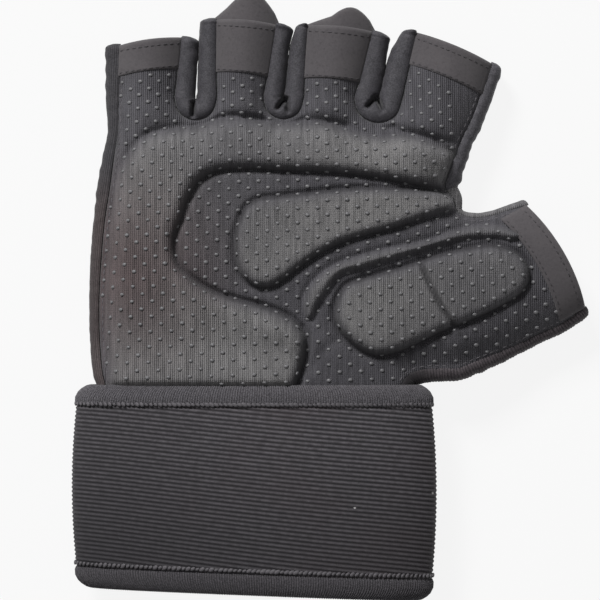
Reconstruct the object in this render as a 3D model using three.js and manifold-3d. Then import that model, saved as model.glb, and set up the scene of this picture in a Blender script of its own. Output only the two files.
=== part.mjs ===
// A right-hand half-finger weightlifting glove, lying on its back with the palm up.
// Sizes are millimetres. +X points to the thumb side, +Y to the finger ends, +Z up.
// The origin is on the surface the glove lies on, under the middle of the wrist wrap.
import * as THREE from 'three';
import { mergeVertices } from 'three/addons/utils/BufferGeometryUtils.js';
import Module from 'manifold-3d';

const wasm = await Module();
wasm.setup();

// Driving sizes of the hand
const palmHalfWidth = 52.5;
const palmLength = 80; // from the wrap's upper rim to the bottom of the finger gaps
const palmHeight = 20.5;
const fingerHeight = 17.5;
const thumbHeight = 18;
const thumbLength = 36;
const thumbWidth = 38;
const thumbAngle = THREE.MathUtils.degToRad(28.9);
const thumbRootAcross = 1.141; // share of palmHalfWidth
const thumbRootUp = 0.245; // share of palmLength
const thumbBand = 8;
const thumbBow = 2.4; // how far the thumb's end edge bows outwards

// Driving sizes of the fingers
const fingerWidth = 17.7;
const fingerLength = 22.5; // from the straight start of a finger to its end
const fingerRise = 6.2; // how far above palmLength the straight sides of the fingers start
const bandHeight = 15;
const tabLength = 8;
const stripReach = 5; // how far a side strip stands out past its seam

// Driving sizes of the wrist wrap
const wrapWidth = 62.7;
const wrapHalfSpan = 55.2;
const wrapHeight = 24.6;
const strapThickness = 2;
const bindingWidth = 6.2;
const wrapBarrel = 0.038; // how much narrower the span is at the rims, as a share
const rimCurl = 2.4; // how far the rims curl in at the wrap's two folded sides
const rimCurlFrom = 0.86; // share of the half width from which they curl
const lowerRimSlope = 0.04; // the lower rim runs down towards the thumb side
const wrapRoundness = 2.6; // exponent of the flattened oval
const floorFlat = 1.2; // how far the oval is pressed flat where it lies

// Cloth, pads and trim
const panelWall = 2;
const backWall = 1.6;
const sideWall = 1.4;
const padHeight = 3;
const padEdge = 0.8; // height of a pad's stitched edge
const padSoftness = 7; // distance over which a pad rounds up to its full height
const seamHeight = 0.62; // share of the local height where palm and side meet
const crownReach = 6; // distance over which the palm side rises from a seam
const outsideSlope = 1 / 3; // how much slower it falls away outside a seam
const outsideDrop = 0.2; // and how far, as a share of the rise inside
const tabWall = 1.2;
const tabUnder = 4; // how far a pull tab is tucked under its finger band
const tabOverhang = 2.6; // how far a pull tab spreads past the palm seam on each side
const tabBlunt = [0.3, 0.15, 0, -0.15, -0.3]; // points of its rounded end, shares of its spread
const tabRound = 2.2; // how quickly the end falls away from its point
const clearance = 0.3;
const cuffPlay = 0.7; // between the wrap's facets and the cuff inside

// Where the hand's height changes, as shares of palmLength and of the thumb's reach
const fingerHeightFrom = 0.85;
const fingerHeightTo = 1.25;
const thumbHeightFrom = 0.2;

// Closure
const closureLength = 14;
const closureThickness = 1.2;
const closureWidth = 46;

// Mesh steps
const plateCell = 7.5;
const backCell = 12;
const padCell = 4.8;
const seamStep = 5.8;
const profileSteps = 5;
const tall = 4 * palmHeight; // more than the height of anything that is cut

// Fingers, from the little finger to the index finger.
// across: centre of the root, share of palmHalfWidth; lean and slope in degrees.
// width, tipWidth and tabSkew are shares of fingerWidth, length of fingerLength, band, the height
// of the end band, of bandHeight. left and right: how far the side strips stand out at the end,
// shares of stripReach. tab: how far a pull tab reaches past the end, share of tabLength;
// tabSkew: how far its point lies from the finger's middle.
const fingers = [
  { name: 'pinky', across: -0.621, lean: 3.8, width: 0.98, tipWidth: 1.055, length: 0.742,
    slope: 7.4, band: 0.57, left: 0.84, right: 1.04, tab: 0 },
  { name: 'ring', across: -0.082, lean: 4.5, width: 0.815, tipWidth: 1, length: 1,
    slope: -4.9, band: 1, left: 0.98, right: 1.06, tab: 1, tabSkew: 0.055 },
  { name: 'middle', across: 0.43, lean: 8.8, width: 0.883, tipWidth: 1.09, length: 0.916,
    slope: -5.3, band: 1, left: 0.7, right: 1.12, tab: 0.94, tabSkew: 0.17 },
  { name: 'index', across: 1.074, lean: 14.3, width: 1.331, tipWidth: 1.371, length: 0.656,
    slope: -22.5, band: 0.6, left: 0.84, right: 0.72, tab: 0 },
];

// Side seams of the palm: across is a share of palmHalfWidth, up a share of palmLength,
// strip how far the side stands out past the seam, a share of stripReach.
const pinkySide = [
  { across: -0.85, up: 0.0, strip: 0.52 },
  { across: -0.868, up: 0.05, strip: 0.58 },
  { across: -0.886, up: 0.16, strip: 0.6 },
  { across: -0.891, up: 0.31, strip: 0.6 },
  { across: -0.88, up: 0.46, strip: 0.66 },
  { across: -0.86, up: 0.61, strip: 0.68 },
  { across: -0.83, up: 0.74, strip: 0.78 },
  { across: -0.81, up: 0.84, strip: 0.7 },
  { across: -0.789, up: 0.96, strip: 0.56 },
];
const indexSide = [
  { across: 1.257, up: 1.01, strip: 0.68 },
  { across: 1.204, up: 0.94, strip: 0.68 },
  { across: 1.16, up: 0.87, strip: 0.72 },
  { across: 1.126, up: 0.81, strip: 0.78 },
  { across: 1.1, up: 0.745, strip: 0.76 },
];

// Thumb seams in the thumb's own frame: along is a share of thumbLength from its root,
// side a share of thumbWidth from its middle line, up positive.
const thumbUpper = [
  { along: 0.46, side: 0.84, strip: 0.6 },
  { along: 0.44, side: 0.7, strip: 0.5 },
  { along: 0.56, side: 0.59, strip: 0.5 },
  { along: 0.7, side: 0.54, strip: 0.5 },
  { along: 0.85, side: 0.51, strip: 0.5 },
  { along: 0.98, side: 0.48, strip: 0.5 },
];
const thumbLower = [
  { along: 1.0, side: -0.424, strip: 0.5 },
  { along: 0.79, side: -0.447, strip: 0.46 },
  { along: 0.53, side: -0.43, strip: 0.46 },
  { along: 0.26, side: -0.414, strip: 0.52 },
  { along: 0.01, side: -0.383, strip: 0.58 },
  { along: -0.16, side: -0.359, strip: 0.56 },
];
const thumbHeel = [
  { across: 1.05, up: 0.06, strip: 0.52 },
  { across: 0.95, up: 0.054, strip: 0.44 },
  { across: 0.885, up: 0.038, strip: 0.38 },
  { across: 0.845, up: -0.005, strip: 0.44 },
];

// Pad outlines on the palm, in shares of palmHalfWidth and palmLength.
const outerPad = [
  [0.265, 0.03], [0.295, 0.09], [0.295, 0.15], [0.25, 0.22], [0.12, 0.27], [-0.05, 0.305],
  [-0.22, 0.34], [-0.36, 0.39], [-0.425, 0.455], [-0.435, 0.54], [-0.395, 0.63], [-0.31, 0.73],
  [-0.17, 0.785], [0.04, 0.805], [0.43, 0.79], [0.83, 0.765], [1.02, 0.745], [1.05, 0.79],
  [0.98, 0.885], [0.8, 0.935], [0.43, 0.962], [0.2, 0.965], [-0.02, 0.975], [-0.18, 0.975],
  [-0.34, 0.965], [-0.54, 0.925], [-0.69, 0.86], [-0.77, 0.76], [-0.81, 0.62], [-0.83, 0.46],
  [-0.84, 0.3], [-0.835, 0.15], [-0.815, 0.03], [-0.72, 0.018], [-0.4, 0.016], [-0.1, 0.016],
  [0.18, 0.016],
];
const middlePad = [
  [0.045, 0.705], [0.26, 0.725], [0.6, 0.732], [0.95, 0.725], [1.1, 0.695], [1.06, 0.645],
  [0.97, 0.615], [0.78, 0.58], [0.6, 0.56], [0.46, 0.525], [0.35, 0.48], [0.235, 0.418],
  [0.12, 0.37], [0.006, 0.362], [-0.08, 0.4], [-0.114, 0.48], [-0.1, 0.575], [-0.05, 0.657],
];
const thumbPad = [
  [0.52, 0.37], [0.434, 0.31], [0.423, 0.245], [0.48, 0.165], [0.606, 0.108], [0.766, 0.094],
  [0.95, 0.135], [1.177, 0.202], [1.405, 0.27], [1.548, 0.325], [1.6, 0.38], [1.577, 0.455],
  [1.463, 0.505], [1.29, 0.5], [1.063, 0.468], [0.834, 0.43], [0.663, 0.404],
];
const flexLine = [[0.935, 0.48], [1.18, 0.17]];
const flexGroove = 1.4;

const wrapUpperRim = wrapWidth / 2;
const layerPitch = strapThickness + clearance;
const cuffFloor = strapThickness + layerPitch;
const cuffCeiling = wrapHeight - strapThickness;
const cuffInset = 9.6;
const cuffEndInset = 5;
const cuffBlend = 14; // length over which the hand opens out of the wrap
const cuffSpan = 0.96; // share of the span up to which the cuff follows the oval
const cuffSteps = [0, 0.4, 0.8]; // stations of the cuff's sides, from the lower rim up
const rowStart = wrapUpperRim + 2 * clearance;

const lerp = THREE.MathUtils.lerp;
const smooth = THREE.MathUtils.smoothstep;

const palmPoint = (across, up) =>
  new THREE.Vector2(across * palmHalfWidth, wrapUpperRim + up * palmLength);

const thumbDirection = new THREE.Vector2(Math.cos(thumbAngle), Math.sin(thumbAngle));
const thumbSideways = new THREE.Vector2(-thumbDirection.y, thumbDirection.x);
const thumbRoot = palmPoint(thumbRootAcross, thumbRootUp);
const thumbPoint = (along, side) =>
  thumbRoot.clone()
    .addScaledVector(thumbDirection, along * thumbLength)
    .addScaledVector(thumbSideways, side * thumbWidth);

// Closed mesh to solid and back
function solidOf(geometry) {
  const bare = new THREE.BufferGeometry();
  bare.setAttribute('position', geometry.getAttribute('position').clone());
  if (geometry.index) bare.setIndex(geometry.index.clone());
  const merged = mergeVertices(bare, 1e-4);
  const mesh = new wasm.Mesh({
    numProp: 3,
    vertProperties: merged.attributes.position.array,
    triVerts: new Uint32Array(merged.index.array),
  });
  return new wasm.Manifold(mesh);
}

function geometryOf(solid) {
  const { numProp, vertProperties, triVerts } = solid.getMesh();
  const positions = new Float32Array((vertProperties.length / numProp) * 3);
  for (let i = 0; i < positions.length / 3; i++) {
    for (let k = 0; k < 3; k++) positions[3 * i + k] = vertProperties[numProp * i + k];
  }
  const geometry = new THREE.BufferGeometry();
  geometry.setAttribute('position', new THREE.BufferAttribute(positions, 3));
  geometry.setIndex(new THREE.BufferAttribute(new Uint32Array(triVerts), 1));
  geometry.computeVertexNormals();
  return geometry;
}

function signedVolume(points, faces) {
  let total = 0;
  for (const [a, b, c] of faces) {
    total += points[a].dot(new THREE.Vector3().crossVectors(points[b], points[c]));
  }
  return total;
}

function closedGeometry(points, faces) {
  const outward = signedVolume(points, faces) > 0;
  const turned = outward ? faces : faces.map(([a, b, c]) => [a, c, b]);
  const geometry = new THREE.BufferGeometry().setFromPoints(points);
  geometry.setIndex(turned.flat());
  geometry.computeVertexNormals();
  return geometry;
}

// A solid through rings of equal point counts. flat is the ring's own 2D outline, for the end faces.
function loft(rings, flat) {
  const count = flat.length;
  const points = rings.flat();
  const faces = [];
  for (let r = 0; r + 1 < rings.length; r++) {
    for (let i = 0; i < count; i++) {
      const j = (i + 1) % count;
      const [a, b] = [r * count + i, r * count + j];
      faces.push([a, b, b + count], [a, b + count, a + count]);
    }
  }
  const last = (rings.length - 1) * count;
  for (const [a, b, c] of THREE.ShapeUtils.triangulateShape(flat, [])) {
    faces.push([a, c, b], [last + a, last + b, last + c]);
  }
  return facing(points, faces, count);
}

// The end faces of a loft have to turn the same way as its sides.
function facing(points, faces, count) {
  const uses = (a, b) => faces.filter((f) =>
    (f[0] === a && f[1] === b) || (f[1] === a && f[2] === b) || (f[2] === a && f[0] === b)).length;
  if (uses(0, 1) !== 1) {
    const sides = faces.filter((f) => !sameRing(f, count));
    const ends = faces.filter((f) => sameRing(f, count)).map(([a, b, c]) => [a, c, b]);
    return closedGeometry(points, [...sides, ...ends]);
  }
  return closedGeometry(points, faces);
}

const sameRing = (face, count) =>
  new Set(face.map((v) => Math.floor(v / count))).size === 1;

// A straight-sided block over an outline, used to cut sheets to shape
function prism(outline, low = -tall, high = tall) {
  const shape = new THREE.Shape(outline);
  const geometry = new THREE.ExtrudeGeometry(shape, { depth: high - low, bevelEnabled: false });
  geometry.translate(0, 0, low);
  return solidOf(geometry);
}

// A block between two height functions. Its square grid is the same for all blocks of one cell
// size, so that facets of neighbours are parallel, and has a row at rowStart.
function heightSlab(outline, low, high, cell) {
  const box = new THREE.Box2().setFromPoints(outline).expandByScalar(cell / 2);
  box.min.x = cell * Math.floor(box.min.x / cell);
  box.min.y = rowStart - cell * Math.ceil((rowStart - box.min.y) / cell);
  const columns = Math.ceil((box.max.x - box.min.x) / cell);
  const rows = Math.ceil((box.max.y - box.min.y) / cell);
  const points = [];
  for (const height of [high, low]) {
    for (let j = 0; j <= rows; j++) {
      for (let i = 0; i <= columns; i++) {
        const [x, y] = [box.min.x + i * cell, box.min.y + j * cell];
        points.push(new THREE.Vector3(x, y, height(x, y)));
      }
    }
  }
  const at = (i, j, layer) => layer * (columns + 1) * (rows + 1) + j * (columns + 1) + i;
  const faces = [];
  const quad = (a, b, c, d) => faces.push([a, b, c], [a, c, d]);
  for (let j = 0; j < rows; j++) {
    for (let i = 0; i < columns; i++) {
      quad(at(i, j, 0), at(i + 1, j, 0), at(i + 1, j + 1, 0), at(i, j + 1, 0));
      quad(at(i, j, 1), at(i, j + 1, 1), at(i + 1, j + 1, 1), at(i + 1, j, 1));
    }
  }
  for (let i = 0; i < columns; i++) {
    quad(at(i, 0, 1), at(i + 1, 0, 1), at(i + 1, 0, 0), at(i, 0, 0));
    quad(at(i, rows, 0), at(i + 1, rows, 0), at(i + 1, rows, 1), at(i, rows, 1));
  }
  for (let j = 0; j < rows; j++) {
    quad(at(0, j, 0), at(0, j + 1, 0), at(0, j + 1, 1), at(0, j, 1));
    quad(at(columns, j, 1), at(columns, j + 1, 1), at(columns, j + 1, 0), at(columns, j, 0));
  }
  return solidOf(closedGeometry(points, faces));
}

const sheet = (outline, low, high, cell) =>
  heightSlab(outline, low, high, cell).intersect(prism(outline));

// Seams. Each station is a Vector3: x, y and, in z, how far the side strip stands out there.
function fingerSeam(finger, side) {
  const rootX = finger.across * palmHalfWidth + side * finger.width * fingerWidth / 2;
  const lean = THREE.MathUtils.degToRad(finger.lean);
  const slope = THREE.MathUtils.degToRad(finger.slope);
  const rootY = wrapUpperRim + palmLength + fingerRise;
  const length = finger.length * fingerLength;
  const tipCentre = new THREE.Vector2(
    finger.across * palmHalfWidth + length * Math.tan(lean), rootY + length);
  const tip = tipCentre.addScaledVector(
    new THREE.Vector2(Math.cos(slope), Math.sin(slope)), side * finger.tipWidth * fingerWidth / 2);
  return { root: new THREE.Vector2(rootX, rootY), tip };
}

const gapFill = 0.8; // how far the strip fills the round bottom of a gap, share of its radius
const gapStep = 3.1;

function smoothStations(stations, step) {
  const seam = new THREE.CatmullRomCurve3(stations, false, 'centripetal');
  return seam.getSpacedPoints(Math.round(seam.getLength() / step));
}

// A finger gap: down one finger's seam, round its bottom and up the next finger's seam
function gapStations(left, right) {
  const a = fingerSeam(left, 1);
  const b = fingerSeam(right, -1);
  const centre = a.root.clone().add(b.root).multiplyScalar(0.5);
  const radius = a.root.distanceTo(b.root) / 2;
  const inner = radius * gapFill - clearance;
  const leg = (seam, tipStrip, share) => {
    const p = seam.tip.clone().lerp(seam.root, share);
    return new THREE.Vector3(p.x, p.y, lerp(tipStrip * stripReach, inner, share));
  };
  const round = [1.25, 1.5, 1.75].map((turn) => new THREE.Vector3(
    centre.x + radius * Math.cos(turn * Math.PI),
    centre.y + radius * Math.sin(turn * Math.PI), inner));
  return smoothStations([
    leg(a, left.right, 0), leg(a, left.right, 0.5), leg(a, left.right, 1), ...round,
    leg(b, right.left, 1), leg(b, right.left, 0.5), leg(b, right.left, 0),
  ], gapStep);
}

const palmStation = ({ across, up, strip }) => {
  const p = palmPoint(across, up);
  return new THREE.Vector3(p.x, p.y, strip * stripReach);
};
const thumbStation = ({ along, side, strip }) => {
  const p = thumbPoint(along, side);
  return new THREE.Vector3(p.x, p.y, strip * stripReach);
};

const cuffHalf = wrapHalfSpan - strapThickness - cuffInset;
const cuffLow = -wrapWidth / 2 + cuffEndInset;
const cuffStrip = 0.68 * stripReach;
const cuffStations = (side) => cuffSteps.map((share) =>
  new THREE.Vector3(side * cuffHalf, lerp(cuffLow, wrapUpperRim, share), cuffStrip));

const pinkyStations = (() => {
  const seam = fingerSeam(fingers[0], -1);
  return smoothStations([
    ...cuffStations(-1),
    ...pinkySide.map(palmStation),
    new THREE.Vector3(seam.root.x, seam.root.y,
      lerp(pinkySide.at(-1).strip, fingers[0].left, 0.5) * stripReach),
    new THREE.Vector3(seam.tip.x, seam.tip.y, fingers[0].left * stripReach),
  ], seamStep);
})();

const indexStations = (() => {
  const index = fingers.at(-1);
  const seam = fingerSeam(index, 1);
  return smoothStations([
    new THREE.Vector3(seam.tip.x, seam.tip.y, index.right * stripReach),
    ...indexSide.map(palmStation),
    ...thumbUpper.map(thumbStation),
  ], seamStep);
})();

const thumbStations = smoothStations([
  ...thumbLower.map(thumbStation),
  ...thumbHeel.map(palmStation),
  ...cuffStations(1).reverse(),
], seamStep);

const gaps = fingers.slice(1).map((finger, i) => ({
  name: `fourchette_${fingers[i].name}_${finger.name}`,
  stations: gapStations(fingers[i], finger),
}));

const seams = [pinkyStations, ...gaps.map((gap) => gap.stations), indexStations, thumbStations];

// The thumb's end edge bows outwards between its two seams.
const thumbEnd = [0.2, 0.4, 0.6, 0.8].map((share) => {
  const p = indexStations.at(-1).clone().lerp(thumbStations[0], share);
  const bow = thumbBow * 4 * share * (1 - share);
  return new THREE.Vector2(p.x, p.y).addScaledVector(thumbDirection, bow);
});
const flat = (stations) => stations.map((p) => new THREE.Vector2(p.x, p.y));
const outline = [
  ...seams.slice(0, -1).flatMap(flat), ...thumbEnd, ...flat(thumbStations),
];

// Distance to the nearest of some lines, positive on their right-hand side. Seams run clockwise
// round the hand, so it is positive inside the outline.
function distanceTo(polylines, x, y) {
  const p = new THREE.Vector2(x, y);
  let best = Infinity;
  let side = 1;
  for (const polyline of polylines) {
    for (let i = 0; i + 1 < polyline.length; i++) {
      const from = new THREE.Vector2(polyline[i].x, polyline[i].y);
      const along = new THREE.Vector2(polyline[i + 1].x, polyline[i + 1].y).sub(from);
      const offset = p.clone().sub(from);
      const share = THREE.MathUtils.clamp(offset.dot(along) / along.lengthSq(), 0, 1);
      const distance = offset.clone().addScaledVector(along, -share).length();
      if (distance < best) {
        best = distance;
        side = Math.sign(offset.cross(along)) || 1;
      }
    }
  }
  return side * best;
}

// The wrap's flattened oval. grow is the distance outwards from its innermost face.
const ovalCentre = (cuffFloor - floorFlat + cuffCeiling) / 2;
const ovalHalfHeight = (cuffCeiling - cuffFloor + floorFlat) / 2;
const ovalHalfSpan = wrapHalfSpan - strapThickness;
function halfSpanAt(share) {
  const fromMiddle = Math.abs(2 * share - 1);
  const curl = Math.max(0, (fromMiddle - rimCurlFrom) / (1 - rimCurlFrom)) ** 2;
  return ovalHalfSpan * (1 - wrapBarrel * fromMiddle ** 2) - rimCurl * curl;
}

function ovalPoint(angle, grow, share) {
  const power = 2 / wrapRoundness;
  const [c, s] = [Math.cos(angle), Math.sin(angle)];
  const halfSpan = halfSpanAt(share) + grow;
  return new THREE.Vector2(
    halfSpan * Math.sign(c) * Math.abs(c) ** power,
    Math.max(
      ovalCentre + (ovalHalfHeight + grow) * Math.sign(s) * Math.abs(s) ** power,
      cuffFloor - grow,
    ),
  );
}

// Half the height that the curled rims leave for the cuff inside
function cuffRise(x) {
  const reach = Math.min(Math.abs(x) / (halfSpanAt(1) - cuffPlay), cuffSpan);
  return (ovalHalfHeight - cuffPlay) * (1 - reach ** wrapRoundness) ** (1 / wrapRoundness);
}

// Heights of the hand's palm side and back
function handHeight(x, y) {
  const fingerShare = smooth((y - wrapUpperRim) / palmLength, fingerHeightFrom, fingerHeightTo);
  const thumbTip = thumbPoint(1, 0);
  const thumbShare = smooth(x, lerp(palmHalfWidth, thumbTip.x, thumbHeightFrom), thumbTip.x);
  const height = lerp(palmHeight, fingerHeight, fingerShare);
  return lerp(height, thumbHeight, thumbShare * (1 - fingerShare));
}

// The palm side rises from its seams, and falls away a little outside them.
function palmTop(x, y) {
  const height = handHeight(x, y);
  const inwards = distanceTo(seams, x, y) / crownReach;
  const outside = Math.max(inwards * outsideSlope, -outsideDrop);
  const crown = inwards > 0 ? 1 - Math.exp(-inwards) : outside;
  const hand = height * lerp(seamHeight, 1, crown);
  const cuff = ovalCentre + cuffRise(x);
  return lerp(cuff, hand, smooth(y, rowStart, wrapUpperRim + cuffBlend));
}

function backBottom(x, y) {
  const cuff = Math.max(ovalCentre - cuffRise(x), cuffFloor + clearance);
  return lerp(cuff, 0, smooth(y, rowStart, wrapUpperRim + cuffBlend));
}

// Side strips: a bowed wall that joins the palm side to the back along a seam
function stripRing(station, outwards) {
  const { x, y, z: strip } = station;
  const [low, high] = [backBottom(x, y), palmTop(x, y)];
  const middle = (low + high) / 2;
  const flat = [];
  const wall = (reach, half, from) => {
    for (let i = 0; i <= profileSteps; i++) {
      const angle = from * Math.PI * (0.5 - i / profileSteps);
      flat.push(new THREE.Vector2(
        clearance + reach * Math.cos(angle), middle + half * Math.sin(angle)));
    }
  };
  wall(strip, (high - low) / 2, 1);
  wall(strip - sideWall, (high - low) / 2 - sideWall, -1);
  const ring = flat.map((p) =>
    new THREE.Vector3(x + outwards.x * p.x, y + outwards.y * p.x, p.y));
  return { ring, flat };
}

function sideStrip(stations) {
  const made = stations.map((station, i) => {
    const before = stations[Math.max(i - 1, 0)];
    const after = stations[Math.min(i + 1, stations.length - 1)];
    const along = new THREE.Vector2(after.x - before.x, after.y - before.y).normalize();
    return stripRing(station, new THREE.Vector2(-along.y, along.x));
  });
  return solidOf(loft(made.map((m) => m.ring), made[0].flat));
}

// End bands: the last stretch of each finger and of the thumb
const cutMargin = 8; // how far a cutting block reaches past what it cuts
const bandSpill = 0.8; // how far an end band's block reaches past the finger's seams
function bandBlock(finger, grow) {
  const left = fingerSeam(finger, -1);
  const right = fingerSeam(finger, 1);
  const across = right.tip.clone().sub(left.tip).normalize();
  const edge = (seam) => {
    const reach = (finger.band * bandHeight + grow) / seam.tip.distanceTo(seam.root);
    return seam.tip.clone().lerp(seam.root, reach);
  };
  const beyond = (seam) => seam.tip.clone().add(seam.tip).sub(seam.root);
  return prism([
    edge(left), edge(right).addScaledVector(across, bandSpill),
    beyond(right).addScaledVector(across, bandSpill),
    beyond(left).addScaledVector(across, -bandSpill),
  ]);
}

function thumbBandBlock(grow) {
  const from = 1 - (thumbBand + grow) / thumbLength;
  const to = 1 + cutMargin / thumbLength;
  const half = 0.5 + cutMargin / thumbWidth;
  return prism([
    thumbPoint(from, half), thumbPoint(from, -half), thumbPoint(to, -half), thumbPoint(to, half),
  ]);
}

// Pull tabs: a blunt triangle of cloth tucked under the end band
function pullTab(finger) {
  const left = fingerSeam(finger, -1).tip;
  const right = fingerSeam(finger, 1).tip;
  const across = right.clone().sub(left).normalize();
  const up = new THREE.Vector2(-across.y, across.x);
  const middle = left.clone().lerp(right, 0.5);
  const under = finger.tipWidth * fingerWidth / 2 - clearance;
  const spread = under + tabOverhang;
  const at = (x, y) => middle.clone().addScaledVector(across, x).addScaledVector(up, y);
  const apex = tabBlunt.map((x) => at(
    x * spread + finger.tabSkew * fingerWidth, finger.tab * tabLength * (1 - tabRound * x * x)));
  const tabOutline = [
    at(-under, -tabUnder), at(under, -tabUnder), at(under, 2 * clearance),
    at(spread, 2 * clearance), ...apex, at(-spread, 2 * clearance), at(-under, 2 * clearance),
  ];
  const top = (x, y) => palmTop(x, y) - panelWall - clearance;
  return sheet(tabOutline, (x, y) => top(x, y) - tabWall, top, plateCell);
}

// Pads: raised cushions on the palm, rounded up from a stitched edge
const padOutline = (rows) => {
  const points = rows.map(([across, up]) => {
    const p = palmPoint(across, up);
    return new THREE.Vector3(p.x, p.y, 0);
  });
  return new THREE.CatmullRomCurve3(points, true, 'centripetal')
    .getSpacedPoints(points.length * 2)
    .slice(0, -1)
    .map((p) => new THREE.Vector2(p.x, p.y));
};

const underPads = heightSlab(
  outline, (x, y) => palmTop(x, y) - tall, (x, y) => palmTop(x, y) + clearance, plateCell);

function pad(rows) {
  const edge = padOutline(rows);
  const border = [[...edge, edge[0]]];
  const top = (x, y) => {
    const inwards = Math.min(Math.abs(distanceTo(border, x, y)) / padSoftness, 1);
    const rise = Math.sqrt(1 - (1 - inwards) ** 2);
    return palmTop(x, y) + clearance + lerp(padEdge, padHeight, rise);
  };
  return heightSlab(edge, (x, y) => palmTop(x, y) - panelWall, top, padCell)
    .intersect(prism(edge))
    .subtract(underPads);
}

function flexBlock() {
  const [a, b] = flexLine.map(([across, up]) => palmPoint(across, up));
  const along = b.clone().sub(a).normalize();
  const across = new THREE.Vector2(-along.y, along.x).multiplyScalar(flexGroove / 2);
  a.addScaledVector(along, -cutMargin);
  b.addScaledVector(along, cutMargin);
  return prism([a.clone().sub(across), b.clone().sub(across), b.clone().add(across),
    a.clone().add(across)]);
}

// The wrap: one strap wound round the cuff, its outer end lying under the start
const degrees = THREE.MathUtils.degToRad;
const strapStart = degrees(250);
const strapEnd = degrees(655);
const liftFrom = degrees(553);
const liftTo = degrees(600);
const turnStep = degrees(9);

// Stations of both layers lie at the same angles, so that their flats are parallel.
function strapAngles(from, to) {
  const angles = [from];
  for (let angle = strapStart; angle < to - turnStep / 4; angle += turnStep) {
    if (angle > from + turnStep / 4) angles.push(angle);
  }
  return [...angles, to];
}

function strapPiece(from, to, shares, growLow, growHigh) {
  const angles = strapAngles(from, to);
  const wall = (share, grow) => angles.map((angle) =>
    ovalPoint(angle, grow + layerPitch * smooth(angle, liftFrom, liftTo), share));
  const flatAt = (share) => [...wall(share, growLow), ...wall(share, growHigh).reverse()];
  const rings = shares.map((share) => flatAt(share).map((p) => {
    const lowerRim = -wrapWidth / 2 - lowerRimSlope * p.x;
    return new THREE.Vector3(p.x, lerp(lowerRim, wrapUpperRim, share), p.y);
  }));
  return loft(rings, flatAt(0.5));
}

const binding = bindingWidth / wrapWidth;
const seamShare = clearance / wrapWidth;
const strapRows = [0, 0.25, 0.5, 0.75, 1];
const rimRows = [0, 0.35, 1];
const bodyShares = strapRows.map((row) => lerp(binding, 1 - binding, row));
const closureMargin = (wrapWidth - closureWidth) / 2 / wrapWidth;
const closureShares = strapRows.map((row) => lerp(closureMargin, 1 - closureMargin, row));
const closureGap = degrees(0.6);
const closureTurn = closureLength / ovalHalfSpan;

// Materials
const knit = new THREE.MeshStandardMaterial({ color: 0x3d3c3f, roughness: 0.85 });
const padCloth = new THREE.MeshStandardMaterial({ color: 0x4a494b, roughness: 0.85 });
const stretchCloth = new THREE.MeshStandardMaterial({ color: 0x333335, roughness: 0.6 });
const suede = new THREE.MeshStandardMaterial({ color: 0x464243, roughness: 0.95 });
const elastic = new THREE.MeshStandardMaterial({ color: 0x2b2a2d, roughness: 0.8 });
const tape = new THREE.MeshStandardMaterial({ color: 0x38363a, roughness: 0.85 });
const hookTape = new THREE.MeshStandardMaterial({ color: 0x1d1d1f, roughness: 0.9 });

const glove = new THREE.Group();
function add(name, shape, material) {
  const geometry = shape.isBufferGeometry ? shape : geometryOf(shape);
  const mesh = new THREE.Mesh(geometry, material);
  mesh.name = name;
  glove.add(mesh);
}

const palmSheet = sheet(outline, (x, y) => palmTop(x, y) - panelWall, palmTop, plateCell);
const withoutBands = fingers
  .reduce((rest, finger) => rest.subtract(bandBlock(finger, clearance)), palmSheet)
  .subtract(thumbBandBlock(clearance));
add('palm_panel', withoutBands, knit);
for (const finger of fingers) {
  add(`finger_band_${finger.name}`, palmSheet.intersect(bandBlock(finger, 0)), suede);
  if (finger.tab) add(`pull_tab_${finger.name}`, pullTab(finger), suede);
}
add('thumb_band', palmSheet.intersect(thumbBandBlock(0)), suede);

const backTop = (x, y) => backBottom(x, y) + backWall;
add('back_panel', sheet(outline, backBottom, backTop, backCell), stretchCloth);
add('side_pinky', sideStrip(pinkyStations), stretchCloth);
add('side_index', sideStrip(indexStations), stretchCloth);
add('side_thumb', sideStrip(thumbStations), stretchCloth);
for (const gap of gaps) add(gap.name, sideStrip(gap.stations), stretchCloth);

add('pad_outer', pad(outerPad), padCloth);
add('pad_middle', pad(middlePad), padCloth);
pad(thumbPad).subtract(flexBlock()).decompose()
  .sort((a, b) => a.boundingBox().min[0] - b.boundingBox().min[0])
  .forEach((half, i) => add(['pad_thumb_base', 'pad_thumb_end'][i], half, padCloth));

add('wrist_wrap', strapPiece(strapStart, strapEnd, bodyShares, 0, strapThickness), elastic);
add('wrap_binding_upper', strapPiece(strapStart, strapEnd,
  rimRows.map((row) => 1 - row * (binding - seamShare)).reverse(), 0, strapThickness), tape);
add('wrap_binding_lower', strapPiece(strapStart, strapEnd,
  rimRows.map((row) => row * (binding - seamShare)), 0, strapThickness), tape);
add('closure_tab',
  strapPiece(strapEnd + closureGap, strapEnd + closureGap + closureTurn,
    closureShares, 0, closureThickness), hookTape);

export default glove;
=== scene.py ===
"""A right-hand half-finger weightlifting glove, lying on its back with the palm up."""
import math

import bpy
import bmesh
import numpy as np
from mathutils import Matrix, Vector, noise
from mathutils.geometry import delaunay_2d_cdt


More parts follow.
